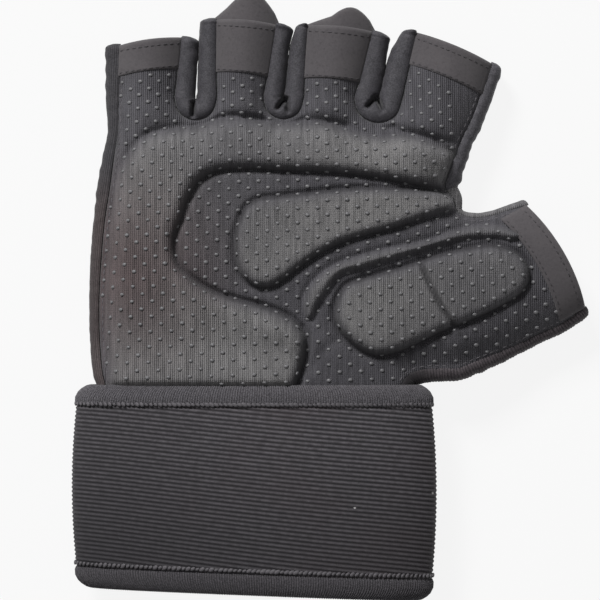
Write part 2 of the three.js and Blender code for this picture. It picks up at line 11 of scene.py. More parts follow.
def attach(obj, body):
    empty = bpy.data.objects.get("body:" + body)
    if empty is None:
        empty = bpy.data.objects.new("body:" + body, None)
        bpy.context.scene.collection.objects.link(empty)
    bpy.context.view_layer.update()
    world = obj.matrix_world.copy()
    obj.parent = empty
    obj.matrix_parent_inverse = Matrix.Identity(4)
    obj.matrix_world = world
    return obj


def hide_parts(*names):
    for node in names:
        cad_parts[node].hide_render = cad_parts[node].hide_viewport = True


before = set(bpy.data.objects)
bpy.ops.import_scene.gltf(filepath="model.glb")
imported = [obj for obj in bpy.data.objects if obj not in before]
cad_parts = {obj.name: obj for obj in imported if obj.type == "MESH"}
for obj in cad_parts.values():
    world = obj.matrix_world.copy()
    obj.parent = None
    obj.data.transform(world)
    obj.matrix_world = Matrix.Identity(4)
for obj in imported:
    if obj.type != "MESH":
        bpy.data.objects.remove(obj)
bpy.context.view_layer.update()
MM = 0.001

# Sizes of the hand, in millimetres, as in the part's source
PALM_HALF_WIDTH, PALM_LENGTH = 52.5, 80
PALM_HEIGHT, FINGER_HEIGHT, THUMB_HEIGHT = 20.5, 17.5, 18
THUMB_LENGTH, THUMB_WIDTH, THUMB_ANGLE = 36, 38, math.radians(28.9)
THUMB_ROOT = (1.141, 0.245)
FINGER_WIDTH, FINGER_LENGTH, FINGER_RISE = 17.7, 22.5, 6.2
BAND_HEIGHT, THUMB_BAND, TAB_LENGTH, STRIP_REACH = 15, 8, 8, 5
SEAM_HEIGHT, CROWN_REACH = 0.62, 6

# Sizes of the wrap
WRAP_WIDTH, WRAP_HALF_SPAN, WRAP_HEIGHT, STRAP = 62.7, 55.2, 24.6, 2
BINDING_WIDTH, BARREL, RIM_CURL, RIM_CURL_FROM = 6.2, 0.038, 2.4, 0.86
RIM_SLOPE, ROUNDNESS, FLOOR_FLAT, CLEARANCE, CUFF_PLAY = 0.04, 2.6, 1.2, 0.3, 0.7
UPPER_RIM = WRAP_WIDTH / 2
LAYER = STRAP + CLEARANCE
WRAP_CROWN = 1.3
UNDERSIDE = 0.42  # the lowest the strap's faces lie, so that its ribs rest on the table
# Where along the strap its ribs fall how steeply, in degrees
RIB_SLOPES = ((-53, -45, -35, -20, 0, 15, 30, 42, 53), (3.7, 5.2, 6.5, 6.7, 6.3, 5.9, 5.1, 5.6, 7.2))
CUFF_FLOOR = STRAP + LAYER
OVAL_CENTRE = (CUFF_FLOOR - FLOOR_FLAT + WRAP_HEIGHT - STRAP) / 2
OVAL_HALF_HEIGHT = (WRAP_HEIGHT - STRAP - CUFF_FLOOR + FLOOR_FLAT) / 2
OVAL_HALF_SPAN = WRAP_HALF_SPAN - STRAP
CUFF_HALF = OVAL_HALF_SPAN - 9.6
CUFF_LOW = -WRAP_WIDTH / 2 + 5
ROW_START, CUFF_BLEND = UPPER_RIM + 0.6, 14
STRAP_START, STRAP_END = math.radians(250), math.radians(655)
LIFT_FROM, LIFT_TO = math.radians(553), math.radians(600)

# Fingers: across (share of the palm's half width), lean and slope in degrees, width and tip
# width (shares of the finger width), length, band, left and right strips, tab, tab skew
FINGERS = {
    "pinky": (-0.621, 3.8, 0.98, 1.055, 0.742, 7.4, 0.57, 0.84, 1.04, 0, 0),
    "ring": (-0.082, 4.5, 0.815, 1, 1, -4.9, 1, 0.98, 1.06, 1, 0.055),
    "middle": (0.43, 8.8, 0.883, 1.09, 0.916, -5.3, 1, 0.7, 1.12, 0.94, 0.17),
    "index": (1.074, 14.3, 1.331, 1.371, 0.656, -22.5, 0.6, 0.84, 0.72, 0, 0),
}

# Half the opening left between two strips, a quarter, half and three quarters down each gap
GAP_HALVES = {"pinky": (0.38, 0.3, 0.2), "ring": (0.06, -0.1, -0.14), "middle": (0.65, 0.02, -0.12)}
# How far the cloth at the bottom of each gap reaches, as a share of the gap's radius
GAP_FLOORS = {"pinky": 0.99, "ring": 1.05, "middle": 1.03}
# Creases at the bottom of each gap: where they meet, beside and above its middle, and their turns in degrees
GAP_FOLDS = {"pinky_ring": ((-0.7, -0.6), (268,)), "ring_middle": ((0.75, 0.75), (232, 277)),
             "middle_index": ((-0.5, 1.0), (228, 292))}

# Seams: across, up and the strip's reach, shares of the palm's half width, length and strip
PINKY_SIDE = [
    (-0.85, 0.0, 0.52), (-0.868, 0.05, 0.58), (-0.886, 0.16, 0.6), (-0.891, 0.31, 0.6),
    (-0.88, 0.46, 0.66), (-0.86, 0.61, 0.68), (-0.83, 0.74, 0.78), (-0.81, 0.84, 0.7),
    (-0.789, 0.96, 0.56),
]
INDEX_SIDE = [
    (1.257, 1.01, 0.68), (1.204, 0.94, 0.68), (1.16, 0.87, 0.72), (1.126, 0.81, 0.78),
    (1.1, 0.745, 0.76),
]
# Thumb seams: along from the thumb's root, sideways from its middle line, strip
THUMB_UPPER = [
    (0.5, 0.84, 0.5), (0.48, 0.72, 0.26), (0.575, 0.63, 0.24), (0.7, 0.58, 0.24),
    (0.85, 0.55, 0.26), (0.98, 0.52, 0.34),
]
THUMB_LOWER = [
    (1.0, -0.424, 0.5), (0.79, -0.447, 0.46), (0.53, -0.43, 0.46), (0.26, -0.414, 0.52),
    (0.01, -0.383, 0.62), (-0.16, -0.359, 0.62),
]
THUMB_HEEL = [(1.05, 0.06, 0.68), (0.95, 0.054, 0.74), (0.885, 0.038, 0.7), (0.845, -0.005, 0.5)]

# Pads: across and up, shares of the palm's half width and length
OUTER_PAD = [
    (0.235, -0.12), (0.245, 0.0), (0.272, 0.055), (0.296, 0.11), (0.3, 0.178), (0.232, 0.242), (0.16, 0.27),
    (0.055, 0.296), (-0.09, 0.321), (-0.237, 0.354), (-0.346, 0.397), (-0.419, 0.439),
    (-0.45, 0.487), (-0.455, 0.534), (-0.441, 0.582), (-0.411, 0.63), (-0.39, 0.678),
    (-0.354, 0.726), (-0.31, 0.768), (-0.237, 0.797), (-0.16, 0.809), (0, 0.812),
    (0.126, 0.807), (0.456, 0.797), (0.66, 0.783), (0.893, 0.757), (1.04, 0.742),
    (1.17, 0.735), (1.3, 0.83), (1.2, 0.9), (1.07, 0.92), (0.966, 0.936), (0.857, 0.948),
    (0.711, 0.941), (0.602, 0.955), (0.499, 0.975), (0.383, 0.993), (0.186, 0.993),
    (-0.018, 1.0), (-0.2, 1.003), (-0.346, 0.981), (-0.529, 0.96), (-0.619, 0.942),
    (-0.69, 0.9), (-0.755, 0.84), (-0.8, 0.76), (-0.83, 0.62), (-0.85, 0.46), (-0.86, 0.3),
    (-0.855, 0.15), (-0.85, 0.0), (-0.85, -0.12), (-0.4, -0.14), (0.1, -0.14),
]
MIDDLE_PAD = [
    (0.126, 0.707), (0.309, 0.721), (0.456, 0.733), (0.674, 0.742), (0.891, 0.738),
    (1.08, 0.73), (1.26, 0.715), (1.3, 0.68), (1.15, 0.655), (1.0, 0.633), (0.82, 0.592),
    (0.674, 0.568), (0.529, 0.54), (0.383, 0.495), (0.26, 0.44), (0.164, 0.392),
    (0.091, 0.368), (0.003, 0.372), (-0.069, 0.41), (-0.104, 0.46), (-0.113, 0.515),
    (-0.106, 0.572), (-0.08, 0.63), (-0.04, 0.672), (0.03, 0.7),
]
THUMB_PAD = [
    (0.53, 0.378), (0.64, 0.405), (0.863, 0.448), (1.09, 0.497), (1.234, 0.517), (1.35, 0.527),
    (1.44, 0.517), (1.52, 0.489), (1.571, 0.448), (1.582, 0.4), (1.54, 0.351), (1.44, 0.306),
    (1.326, 0.268), (1.211, 0.236), (1.063, 0.197), (0.93, 0.155), (0.817, 0.124),
    (0.714, 0.112), (0.63, 0.125), (0.555, 0.158), (0.491, 0.204), (0.46, 0.253),
    (0.467, 0.306), (0.492, 0.347),
]
# The swollen cloth between the middle and the thumb pad
RIDGE = [
    (0.3, 0.25), (0.28, 0.32), (0.33, 0.385), (0.45, 0.45), (0.62, 0.49), (0.8, 0.52), (0.98, 0.545),
    (1.13, 0.58), (1.28, 0.605), (1.42, 0.6), (1.53, 0.565), (1.5, 0.545), (1.38, 0.553), (1.22, 0.548),
    (1.09, 0.528), (0.86, 0.483), (0.63, 0.438), (0.5, 0.413), (0.43, 0.36), (0.37, 0.3), (0.33, 0.25),
]
FLEX_LINE = [(0.935, 0.485), (1.01, 0.37), (1.085, 0.28), (1.18, 0.19)]


# ---------------------------------------------------------------- curves and distances
def smooth_curve(points, step, closed=False):
    """Points a step apart on a centripetal curve through the given ones."""
    p = np.asarray(points, float)
    p = np.vstack([p[-1], p, p[0], p[1]]) if closed else np.vstack([2 * p[0] - p[1], p, 2 * p[-1] - p[-2]])
    out = []
    for a, b, c, d in zip(p[:-3], p[1:-2], p[2:-1], p[3:]):
        t1, t2, t3 = (max(np.linalg.norm(v), 1e-6) ** 0.5 for v in (b - a, c - b, d - c))
        t = np.linspace(0, t2, 14, endpoint=False)[:, None]
        m1 = (b - a) / t1 - (c - a) / (t1 + t2) + (c - b) / t2
        m2 = (c - b) / t2 - (d - b) / (t2 + t3) + (d - c) / t3
        s = t / t2
        out.append((2 * s**3 - 3 * s**2 + 1) * b + (s**3 - 2 * s**2 + s) * t2 * m1
                   + (3 * s**2 - 2 * s**3) * c + (s**3 - s**2) * t2 * m2)
    line = np.vstack(out + [p[-2][None] if not closed else p[1][None]])
    return resample(line, step)


def resample(line, step):
    along = np.concatenate([[0], np.cumsum(np.linalg.norm(np.diff(line, axis=0), axis=1))])
    at = np.linspace(0, along[-1], max(2, round(along[-1] / step) + 1))
    return np.stack([np.interp(at, along, line[:, k]) for k in range(line.shape[1])], 1)


def distance_to(lines, x, y):
    """Distance to the nearest line, positive on its right-hand side."""
    start = np.vstack([line[:-1, :2] for line in lines])
    run = np.vstack([line[1:, :2] for line in lines]) - start
    length2 = np.maximum((run**2).sum(1), 1e-9)
    p = np.stack([np.ravel(x), np.ravel(y)], 1)
    result = np.empty(len(p))
    for i in range(0, len(p), 4000):
        off = p[i:i + 4000, None] - start[None]
        share = np.clip((off * run).sum(2) / length2, 0, 1)
        gap = off - share[..., None] * run
        far = (gap**2).sum(2)
        near = far.argmin(1)
        rows = np.arange(len(near))
        cross = off[rows, near, 0] * run[near, 1] - off[rows, near, 1] * run[near, 0]
        result[i:i + 4000] = np.sqrt(far[rows, near]) * np.where(cross < 0, -1, 1)
    return result.reshape(np.shape(x))


def near_line(line, x, y, within=7.0):
    """Distance to one line, exact near it and -within further away."""
    low, high = line[:, :2].min(0) - within, line[:, :2].max(0) + within
    here = (x > low[0]) & (x < high[0]) & (y > low[1]) & (y < high[1])
    result = np.full(np.shape(x), -within)
    result[here] = distance_to([line], x[here], y[here])
    return result


def into_the_hand(x, y, soft=2.2):
    """Distance in from the seams, rounded where two seams are equally far."""
    off = np.array([distance_to([line], x, y) for line in coarse_seams])
    nearest = np.abs(off).argmin(0)
    sign = np.sign(np.take_along_axis(off, nearest[None], 0)[0])
    least = np.abs(off).min(0)
    return sign * (least - soft * np.log(np.exp((least - np.abs(off)) / soft).sum(0)) * np.clip(least / 3, 0, 1))


def inside_of(edge, x, y):
    """Which places lie inside a closed outline."""
    ends = np.roll(edge, -1, axis=0)
    hits = np.zeros(len(x), int)
    for (ax, ay), (bx, by) in zip(edge, ends):
        crosses = (ay > y) != (by > y)
        hits += crosses & (x < ax + (y - ay) * (bx - ax) / ((by - ay) or 1e-9))
    return hits % 2 == 1


def smoothstep(x, low, high):
    t = np.clip((x - low) / (high - low), 0, 1)
    return t * t * (3 - 2 * t)


def lerp(a, b, t):
    return a + (b - a) * t


def palm_point(across, up):
    return np.array([across * PALM_HALF_WIDTH, UPPER_RIM + up * PALM_LENGTH])


THUMB_ALONG = np.array([math.cos(THUMB_ANGLE), math.sin(THUMB_ANGLE)])
THUMB_ASIDE = np.array([-THUMB_ALONG[1], THUMB_ALONG[0]])


def thumb_point(along, side):
    return (palm_point(*THUMB_ROOT) + along * THUMB_LENGTH * THUMB_ALONG
            + side * THUMB_WIDTH * THUMB_ASIDE)


# ---------------------------------------------------------------- seams of the hand
def finger_seam(name, side):
    across, lean, width, tip_width, length, slope = FINGERS[name][:6]
    root_y = UPPER_RIM + PALM_LENGTH + FINGER_RISE
    reach = length * FINGER_LENGTH
    root = np.array([across * PALM_HALF_WIDTH + side * width * FINGER_WIDTH / 2, root_y])
    centre = np.array([across * PALM_HALF_WIDTH + reach * math.tan(math.radians(lean)), root_y + reach])
    slope = math.radians(slope)
    tip = centre + np.array([math.cos(slope), math.sin(slope)]) * side * tip_width * FINGER_WIDTH / 2
    return root, tip


def station(point, strip):
    return [point[0], point[1], strip * STRIP_REACH]


def run_on(seam, first, last):
    """The seam with its first and last ends carried on, in millimetres."""
    def beyond(end, before, reach):
        way = (end - before)[:2] / np.linalg.norm((end - before)[:2])
        return np.append(end[:2] + way * reach, end[2])
    head = [beyond(seam[0], seam[1], first)] if first else []
    tail = [beyond(seam[-1], seam[-2], last)] if last else []
    return np.vstack([*head, seam, *tail])


def gap_seam(left, right):
    a_root, a_tip = finger_seam(left, 1)
    b_root, b_tip = finger_seam(right, -1)
    centre, radius = (a_root + b_root) / 2, np.linalg.norm(a_root - b_root) / 2
    inner = (radius * GAP_FLOORS[left] - CLEARANCE) / STRIP_REACH
    a_strip, b_strip = FINGERS[left][8], FINGERS[right][7]
    steps = (0, 0.25, 0.5, 0.75, 1)
    halves = [np.linalg.norm(lerp(a_tip, a_root, t) - lerp(b_tip, b_root, t)) / 2 for t in steps[1:-1]]
    between = [(half - opening - CLEARANCE) / STRIP_REACH for half, opening in zip(halves, GAP_HALVES[left])]
    down = [station(lerp(a_tip, a_root, t), r) for t, r in zip(steps, [a_strip, *between, inner])]
    turns = [math.pi * t for t in (1.25, 1.5, 1.75)]
    floor = [station(centre + radius * np.array([math.cos(t), math.sin(t)]), inner) for t in turns]
    up = [station(lerp(b_tip, b_root, t), r) for t, r in zip(steps, [b_strip, *between, inner])][::-1]
    return smooth_curve(down + floor + up, 0.8)


def cuff_stations(side):
    return [[side * CUFF_HALF, lerp(CUFF_LOW, UPPER_RIM, t), 0.68 * STRIP_REACH] for t in (0, 0.4, 0.8)]


pinky_root, pinky_tip = finger_seam("pinky", -1)
index_root, index_tip = finger_seam("index", 1)
pinky_seam = smooth_curve(
    cuff_stations(-1) + [station(palm_point(a, u), s) for a, u, s in PINKY_SIDE]
    + [station(pinky_root, 0.7), station(pinky_tip, 0.84)], 1)
index_seam = smooth_curve(
    [station(index_tip, 0.72)] + [station(palm_point(a, u), s) for a, u, s in INDEX_SIDE]
    + [station(thumb_point(a, u), s) for a, u, s in THUMB_UPPER], 1)
thumb_seam = smooth_curve(
    [station(thumb_point(a, u), s) for a, u, s in THUMB_LOWER]
    + [station(palm_point(a, u), s) for a, u, s in THUMB_HEEL] + cuff_stations(1)[::-1], 1)
names = list(FINGERS)
gap_seams = {f"{a}_{b}": gap_seam(a, b) for a, b in zip(names, names[1:])}
seams = [pinky_seam, *gap_seams.values(), index_seam, thumb_seam]
coarse_seams = [resample(line, 1.5) for line in seams]
thumb_end = np.array([lerp(index_seam[-1, :2], thumb_seam[0, :2], t) + THUMB_ALONG * 2.4 * 4 * t * (1 - t)
                      for t in np.linspace(0, 1, 22)])
outline = np.vstack([line[:, :2] for line in seams[:-1]] + [thumb_end[1:-1], thumb_seam[:, :2]])


# ---------------------------------------------------------------- heights of the hand
def half_span_at(share):
    off = np.abs(2 * share - 1)
    curl = np.maximum(0, (off - RIM_CURL_FROM) / (1 - RIM_CURL_FROM)) ** 2
    return OVAL_HALF_SPAN * (1 - BARREL * off**2) - RIM_CURL * curl


def cuff_rise(x):
    reach = np.minimum(np.abs(x) / (half_span_at(1) - CUFF_PLAY), 0.96)
    return (OVAL_HALF_HEIGHT - CUFF_PLAY) * (1 - reach**ROUNDNESS) ** (1 / ROUNDNESS)


def hand_height(x, y):
    fingers = smoothstep((y - UPPER_RIM) / PALM_LENGTH, 0.85, 1.25)
    tip = thumb_point(1, 0)[0]
    thumb = smoothstep(x, lerp(PALM_HALF_WIDTH, tip, 0.2), tip)
    return lerp(lerp(PALM_HEIGHT, FINGER_HEIGHT, fingers), THUMB_HEIGHT, thumb * (1 - fingers))


def palm_top(x, y, inwards=None):
    x, y = np.asarray(x, float), np.asarray(y, float)
    inwards = (into_the_hand(x, y) if inwards is None else inwards) / CROWN_REACH
    crown = np.where(inwards > 0, 1 - np.exp(-np.maximum(inwards, 0)), np.maximum(inwards / 3, -0.2))
    hand = hand_height(x, y) * lerp(SEAM_HEIGHT, 1, crown)
    return lerp(OVAL_CENTRE + cuff_rise(x), hand, smoothstep(y, ROW_START, UPPER_RIM + CUFF_BLEND))


def back_bottom(x, y):
    """The underside of the back cloth, which curls up towards its seams."""
    cuff = np.maximum(OVAL_CENTRE - cuff_rise(x), CUFF_FLOOR + CLEARANCE)
    curl = 2.1 * np.exp(-(np.maximum(into_the_hand(x, y), 0) / 2.4) ** 2)
    return lerp(cuff, curl, smoothstep(y, ROW_START, UPPER_RIM + CUFF_BLEND))


def outline_of(rows, step=1.2):
    """A closed pad outline that runs clockwise."""
    line = smooth_curve([palm_point(a, u) for a, u in rows], step, closed=True)
    area = np.sum(line[:-1, 0] * line[1:, 1] - line[1:, 0] * line[:-1, 1])
    return line if area < 0 else line[::-1]


pads = {name: outline_of(rows) for name, rows in
        (("outer", OUTER_PAD), ("middle", MIDDLE_PAD), ("thumb", THUMB_PAD), ("ridge", RIDGE))}
flex_line = smooth_curve([palm_point(a, u) for a, u in FLEX_LINE], 1.2)
outer_parts = [smooth_curve([palm_point(a, u) for a, u in part], 1.2) for part in (OUTER_PAD[:29], OUTER_PAD[28:])]
# Height, softness of the edge and depth of the sewn channel beside it
PAD_FORMS = {"outer": (3.4, 4.8, 1.3), "middle": (2.8, 3.4, 0.9), "thumb": (2.9, 3.6, 1.2), "ridge": (2.3, 3.4, 0.5)}


def mm(*pixels):
    """Places read on the photograph, 0.3 mm to the pixel, from the frame's origin."""
    return smooth_curve([((x - 254) * 0.3, (490 - y) * 0.3) for x, y in pixels], 1.5)


# Creases of the palm cloth: line, depth and width
CREASES = [
    (mm((128, 152), (138, 144), (149, 136)), 0.5, 3.0),
    (mm((149, 136), (168, 129), (187, 124)), 1.1, 2.3),
    (mm((195, 124), (213, 119), (225, 115.5), (251, 117), (264, 120)), 1.7, 1.3),
    (mm((281, 121), (300, 119), (322, 121), (345, 126)), 1.9, 1.8),
    (mm((378, 121), (400, 130), (425, 139), (452, 152)), 2.6, 1.9),
    (mm((110, 180), (106, 200), (104, 222)), 0.7, 1.6),
    (mm((365, 110), (375, 104), (385, 100)), 0.8, 1.0),
    (mm((300, 382), (303, 366), (307, 343), (304, 327)), 0.9, 1.2),
    (mm((336, 341), (322, 352), (312, 368)), 0.6, 1.6),
]
# Where painted light makes the padded cloth paler and painted shade makes it darker: centre, reach and change
PAINTED_LIGHT_SPOTS = [((22, 77), 20, 0.26), ((38, 82), 14, 0.15), ((-5, 102), 22, -0.4), ((40, 96), 14, 0.08),
               ((68, 60), 15, -0.4), ((-20, 42), 15, 0.14), ((57, 104), 9, -0.25), ((40, 52), 10, 0.12)]
# Painted light that makes the valley cloth between the pads paler: centre, reach and change
PAINTED_VALLEY_LIGHT = ((-16, 84), 22, 0.2)
# Soft swells of the cloth: centre, half lengths, turn in degrees, height
SWELLS = [
    ((-19, 64), (4, 17), 8, 1.4), ((8, 47), (14, 4), -18, 1.2), 
    ((24, 41), (5, 8), 20, 0.9), ((66, 46), (14, 4), 27, 0.9),
    ((-2, 116), (9, 3), 0, 0.8), ((24, 115), (9, 3), -4, 0.8), ((52, 110), (9, 4), -20, 0.9), ((-30, 114), (8, 4), 10, 0.7),
]


def pad_rise(inwards, height, soft):
    t = np.clip(inwards / soft, 0, 1)
    return height * (1 - (1 - t) ** 2.7)


def palm_relief(x, y):
    """How far the palm cloth stands above the hand's own curve."""
    lift = np.zeros(np.shape(x))
    clear_of_wrap = smoothstep(y, ROW_START - 2.4, ROW_START + 1.2)
    for name, line in pads.items():
        inside = near_line(line, x, y, 9.0)
        height, soft, groove = PAD_FORMS[name]
        rise = pad_rise(inside, height, soft)
        if name == "outer":
            to_inner, to_rim = (np.abs(near_line(part, x, y, 9.0)) for part in outer_parts)
            rise = np.where(inside > 0, np.minimum(pad_rise(to_inner, height, soft), pad_rise(to_rim, height, 8)), 0)
            groove = groove * np.where(to_inner < to_rim + 2, 1, 0.3)
        lift = lift + (rise - groove * np.exp(-(np.abs(inside + 0.35) / 1.0) ** 2)) * clear_of_wrap
    groove = np.abs(near_line(flex_line, x, y))
    on_pad = smoothstep(near_line(pads["thumb"], x, y, 9.0), -0.4, 1.2)
    lift = lift - 2.0 * np.exp(-(groove / 0.7) ** 2) * on_pad
    for line, depth, width in CREASES:
        gap = np.abs(near_line(line, x, y))
        lift = lift - depth * np.exp(-(gap / width) ** 2)
    for (cx, cy), (along, across), turn, height in SWELLS:
        c, s = math.cos(math.radians(turn)), math.sin(math.radians(turn))
        u, v = (x - cx) * c + (y - cy) * s, (y - cy) * c - (x - cx) * s
        lift = lift + height * np.exp(-(u / along) ** 2 - (v / across) ** 2)
    return lift


def cloth_top(x, y):
    """The palm cloth's height: the pads and creases fade out towards the seams that hold it."""
    inwards = into_the_hand(x, y)
    return palm_top(x, y, inwards) + palm_relief(x, y) * smoothstep(inwards, 0.1, 2.8)


# ---------------------------------------------------------------- making meshes
def new_piece(name, points, faces, finish, smooth=True):
    mesh = bpy.data.meshes.new(name)
    mesh.from_pydata((np.asarray(points) * MM).tolist(), [], [list(map(int, f)) for f in faces])
    mesh.validate()
    piece = bpy.data.objects.new(name, mesh)
    bpy.context.scene.collection.objects.link(piece)
    mesh.materials.append(finish)
    mesh.polygons.foreach_set("use_smooth", [smooth] * len(mesh.polygons))
    return piece


def mark(piece, label, values):
    """Stores a number on each point of a piece, for its finish or its ribs to read."""
    attribute = piece.data.attributes.new(label, "FLOAT", "POINT")
    attribute.data.foreach_set("value", np.asarray(values, float).ravel())


def turn_outwards(piece):
    bm = bmesh.new()
    bm.from_mesh(piece.data)
    bmesh.ops.recalc_face_normals(bm, faces=bm.faces)
    bm.to_mesh(piece.data)
    bm.free()


def sweep(name, rings, finish):
    """A closed solid through rings of equal point counts."""
    count, size = rings.shape[:2]
    i, j = np.arange(count - 1)[:, None] * size, np.arange(size)[None]
    n = (j + 1) % size
    quads = np.stack([i + j, i + n, i + size + n, i + size + j], -1).reshape(-1, 4)
    caps = [np.arange(size)[::-1], (count - 1) * size + np.arange(size)]
    piece = new_piece(name, rings.reshape(-1, 3), [*quads, *caps], finish)
    turn_outwards(piece)
    return piece


def bake(piece):
    """Makes a piece's modifiers part of its mesh."""
    bpy.context.view_layer.update()
    evaluated = piece.evaluated_get(bpy.context.evaluated_depsgraph_get())
    mesh = bpy.data.meshes.new_from_object(evaluated)
    piece.modifiers.clear()
    old, piece.data = piece.data, mesh
    mesh.name = piece.name
    bpy.data.meshes.remove(old)
    return piece


def cloth_patch(name, edge, height, thickness, cell, finish, channels=()):
    """A sheet over an outline, its upper face at a height function, finer beside its sewn channels."""
    low, high = edge.min(0), edge.max(0)
    rows = np.arange(low[1], high[1], cell * 0.866)
    grid = np.array([(x + (k % 2) * cell / 2, y) for k, y in enumerate(rows)
                     for x in np.arange(low[0], high[0], cell)])
    if channels:
        beside = grid[np.abs(distance_to(channels, grid[:, 0], grid[:, 1])) < 1.9]
        between = cell / 2 * np.array([(1, 0), (0.5, 0.866), (-0.5, 0.866)])
        grid = np.vstack([grid, *(beside + step for step in between)])
    closed = np.vstack([edge, edge[:1]])
    area = np.sum(closed[:-1, 0] * closed[1:, 1] - closed[1:, 0] * closed[:-1, 1])
    inside = distance_to([closed if area < 0 else closed[::-1]], grid[:, 0], grid[:, 1])
    flat = np.vstack([edge, grid[inside > cell * 0.45]])
    count = len(edge)
    border = [(k, (k + 1) % count) for k in range(count)]
    points, _, faces, *_ = delaunay_2d_cdt([Vector(p) for p in flat], border, [], 1, 1e-5)
    points = np.array([tuple(p) for p in points])
    a, b, c = (points[[f[k] for f in faces]] for k in range(3))
    up = np.cross(b - a, c - a)
    faces = [f if u > 0 else f[::-1] for f, u in zip(faces, up)]
    z = height(points[:, 0], points[:, 1])
    piece = new_piece(name, np.column_stack([points, z]), faces, finish)
    wall = piece.modifiers.new("wall", "SOLIDIFY")
    wall.thickness, wall.offset = thickness * MM, -1
    return bake(piece)


# ---------------------------------------------------------------- wiring of nodes
def wire(tree, kind, inputs=None, **settings):
    """A new node with its settings, values and links."""
    node = tree.nodes.new(kind)
    for key, value in settings.items():
        setattr(node, key, value)
    for key, value in (inputs or {}).items():
        if isinstance(value, bpy.types.NodeSocket):
            tree.links.new(value, node.inputs[key])
        else:
            node.inputs[key].default_value = value
    return node


def sums(tree, operation, *values):
    node = wire(tree, "ShaderNodeMath", dict(enumerate(values)), operation=operation)
    return node.outputs[0]


def bend_values(tree, factor, low, high, to_low=0.0, to_high=1.0):
    node = wire(tree, "ShaderNodeMapRange", {0: factor, 1: low, 2: high, 3: to_low, 4: to_high},
                interpolation_type="SMOOTHSTEP")
    return node.outputs[0]


def blend_colours(tree, factor, a, b):
    node = wire(tree, "ShaderNodeMix", {0: factor}, data_type="RGBA")
    for socket, value in ((node.inputs[6], a), (node.inputs[7], b)):
        if isinstance(value, bpy.types.NodeSocket):
            tree.links.new(value, socket)
        else:
            socket.default_value = (*value, 1)
    return node.outputs[2]


def finish_of(name, roughness, sheen=0.0, sheen_roughness=0.5, specular=0.3):
    """A material, its tree, shader and the object's coordinates."""
    finish = bpy.data.materials.new(name)
    finish.use_nodes = True
    tree = finish.node_tree
    shader = tree.nodes["Principled BSDF"]
    shader.inputs["Roughness"].default_value = roughness
    shader.inputs["Specular IOR Level"].default_value = specular
    shader.inputs["Sheen Weight"].default_value = sheen
    shader.inputs["Sheen Roughness"].default_value = sheen_roughness
    place = wire(tree, "ShaderNodeTexCoord").outputs["Object"]
    return finish, tree, shader, place


def speckle(tree, place, scale, detail=2.0, roughness=0.5):
    return wire(tree, "ShaderNodeTexNoise", {"Vector": place, "Scale": scale, "Detail": detail,
                                             "Roughness": roughness}).outputs["Fac"]


def split(tree, place):
    return wire(tree, "ShaderNodeSeparateXYZ", {0: place}).outputs


def relief(tree, shader, height, strength, distance):
    bump = wire(tree, "ShaderNodeBump", {"Height": height, "Strength": strength, "Distance": distance})
    tree.links.new(bump.outputs[0], shader.inputs["Normal"])


# ---------------------------------------------------------------- finishes
def ribbed_knit():
    """Charcoal knit: fine upright ribs of small loops, paler over the pads' padding, with painted light and painted
    shade on parts of the pads, painted shade along the sewn grooves, and browner at the heel's outer side.
    """
    finish, tree, shader, place = finish_of("ribbed knit", 0.8, 0.08, 0.45, 0.28)
    x, y, _ = split(tree, place)
    level = wire(tree, "ShaderNodeMapping", {"Vector": place, "Scale": (1, 1, 0)}).outputs[0]
    wander = sums(tree, "MULTIPLY", speckle(tree, level, 60, 3), 0.0002)
    rib = sums(tree, "SINE", sums(tree, "MULTIPLY", sums(tree, "ADD", x, wander), 2 * math.pi / 0.0006))
    level_share = split(tree, wire(tree, "ShaderNodeNewGeometry").outputs["Normal"])[2]
    rib = sums(tree, "MULTIPLY", rib, bend_values(tree, level_share, 0.5, 0.85, 0.1, 1))
    loop = sums(tree, "SINE", sums(tree, "MULTIPLY", y, 2 * math.pi / 0.00055))
    fuzz = speckle(tree, place, 2200, 4, 0.75)
    height = sums(tree, "ADD", sums(tree, "MULTIPLY", rib, 0.5), sums(tree, "MULTIPLY", loop, 0.08))
    height = sums(tree, "ADD", height, sums(tree, "MULTIPLY", fuzz, 1.2))
    relief(tree, shader, height, 1.0, 0.00016)
    streak = wire(tree, "ShaderNodeMapping", {"Vector": place, "Scale": (1100, 90, 90)}).outputs[0]
    streak = speckle(tree, streak, 1.0, 2)
    shade = bend_values(tree, sums(tree, "ADD", height, sums(tree, "MULTIPLY", streak, 1.7)), 0.35, 2.4)
    # Paler over the pads, plus the painted light and painted shade marked on the palm cloth
    foam_and_painted_light = wire(tree, "ShaderNodeAttribute", attribute_name="over_foam_and_painted_light").outputs["Fac"]
    patch = speckle(tree, place, 32, 3)
    foam_and_painted_light = sums(tree, "MULTIPLY", foam_and_painted_light, bend_values(tree, patch, 0.25, 0.65, 0.7, 1.15))
    low = blend_colours(tree, shade, (0.017, 0.016, 0.019), (0.079, 0.076, 0.085))
    high = blend_colours(tree, shade, (0.044, 0.043, 0.044), (0.212, 0.206, 0.206))
    charcoal = blend_colours(tree, foam_and_painted_light, low, high)
    near = wire(tree, "ShaderNodeVectorMath", {0: place, 1: (-0.040, 0.066, 0.02)}, operation="DISTANCE").outputs["Value"]
    warm = sums(tree, "MULTIPLY", bend_values(tree, near, 0.0, 0.044, 1, 0), 0.86)
    brown = blend_colours(tree, shade, (0.021, 0.0145, 0.0145), (0.092, 0.064, 0.065))
    worn = blend_colours(tree, warm, charcoal, brown)
    # Painted shade darkens the knit along its sewn grooves
    crease_shade = wire(tree, "ShaderNodeAttribute", attribute_name="painted_crease_shade").outputs["Fac"]
    dark = blend_colours(tree, sums(tree, "MULTIPLY", crease_shade, 0.6), worn, (0.012, 0.011, 0.013))
    tree.links.new(dark, shader.inputs["Base Color"])
    return finish


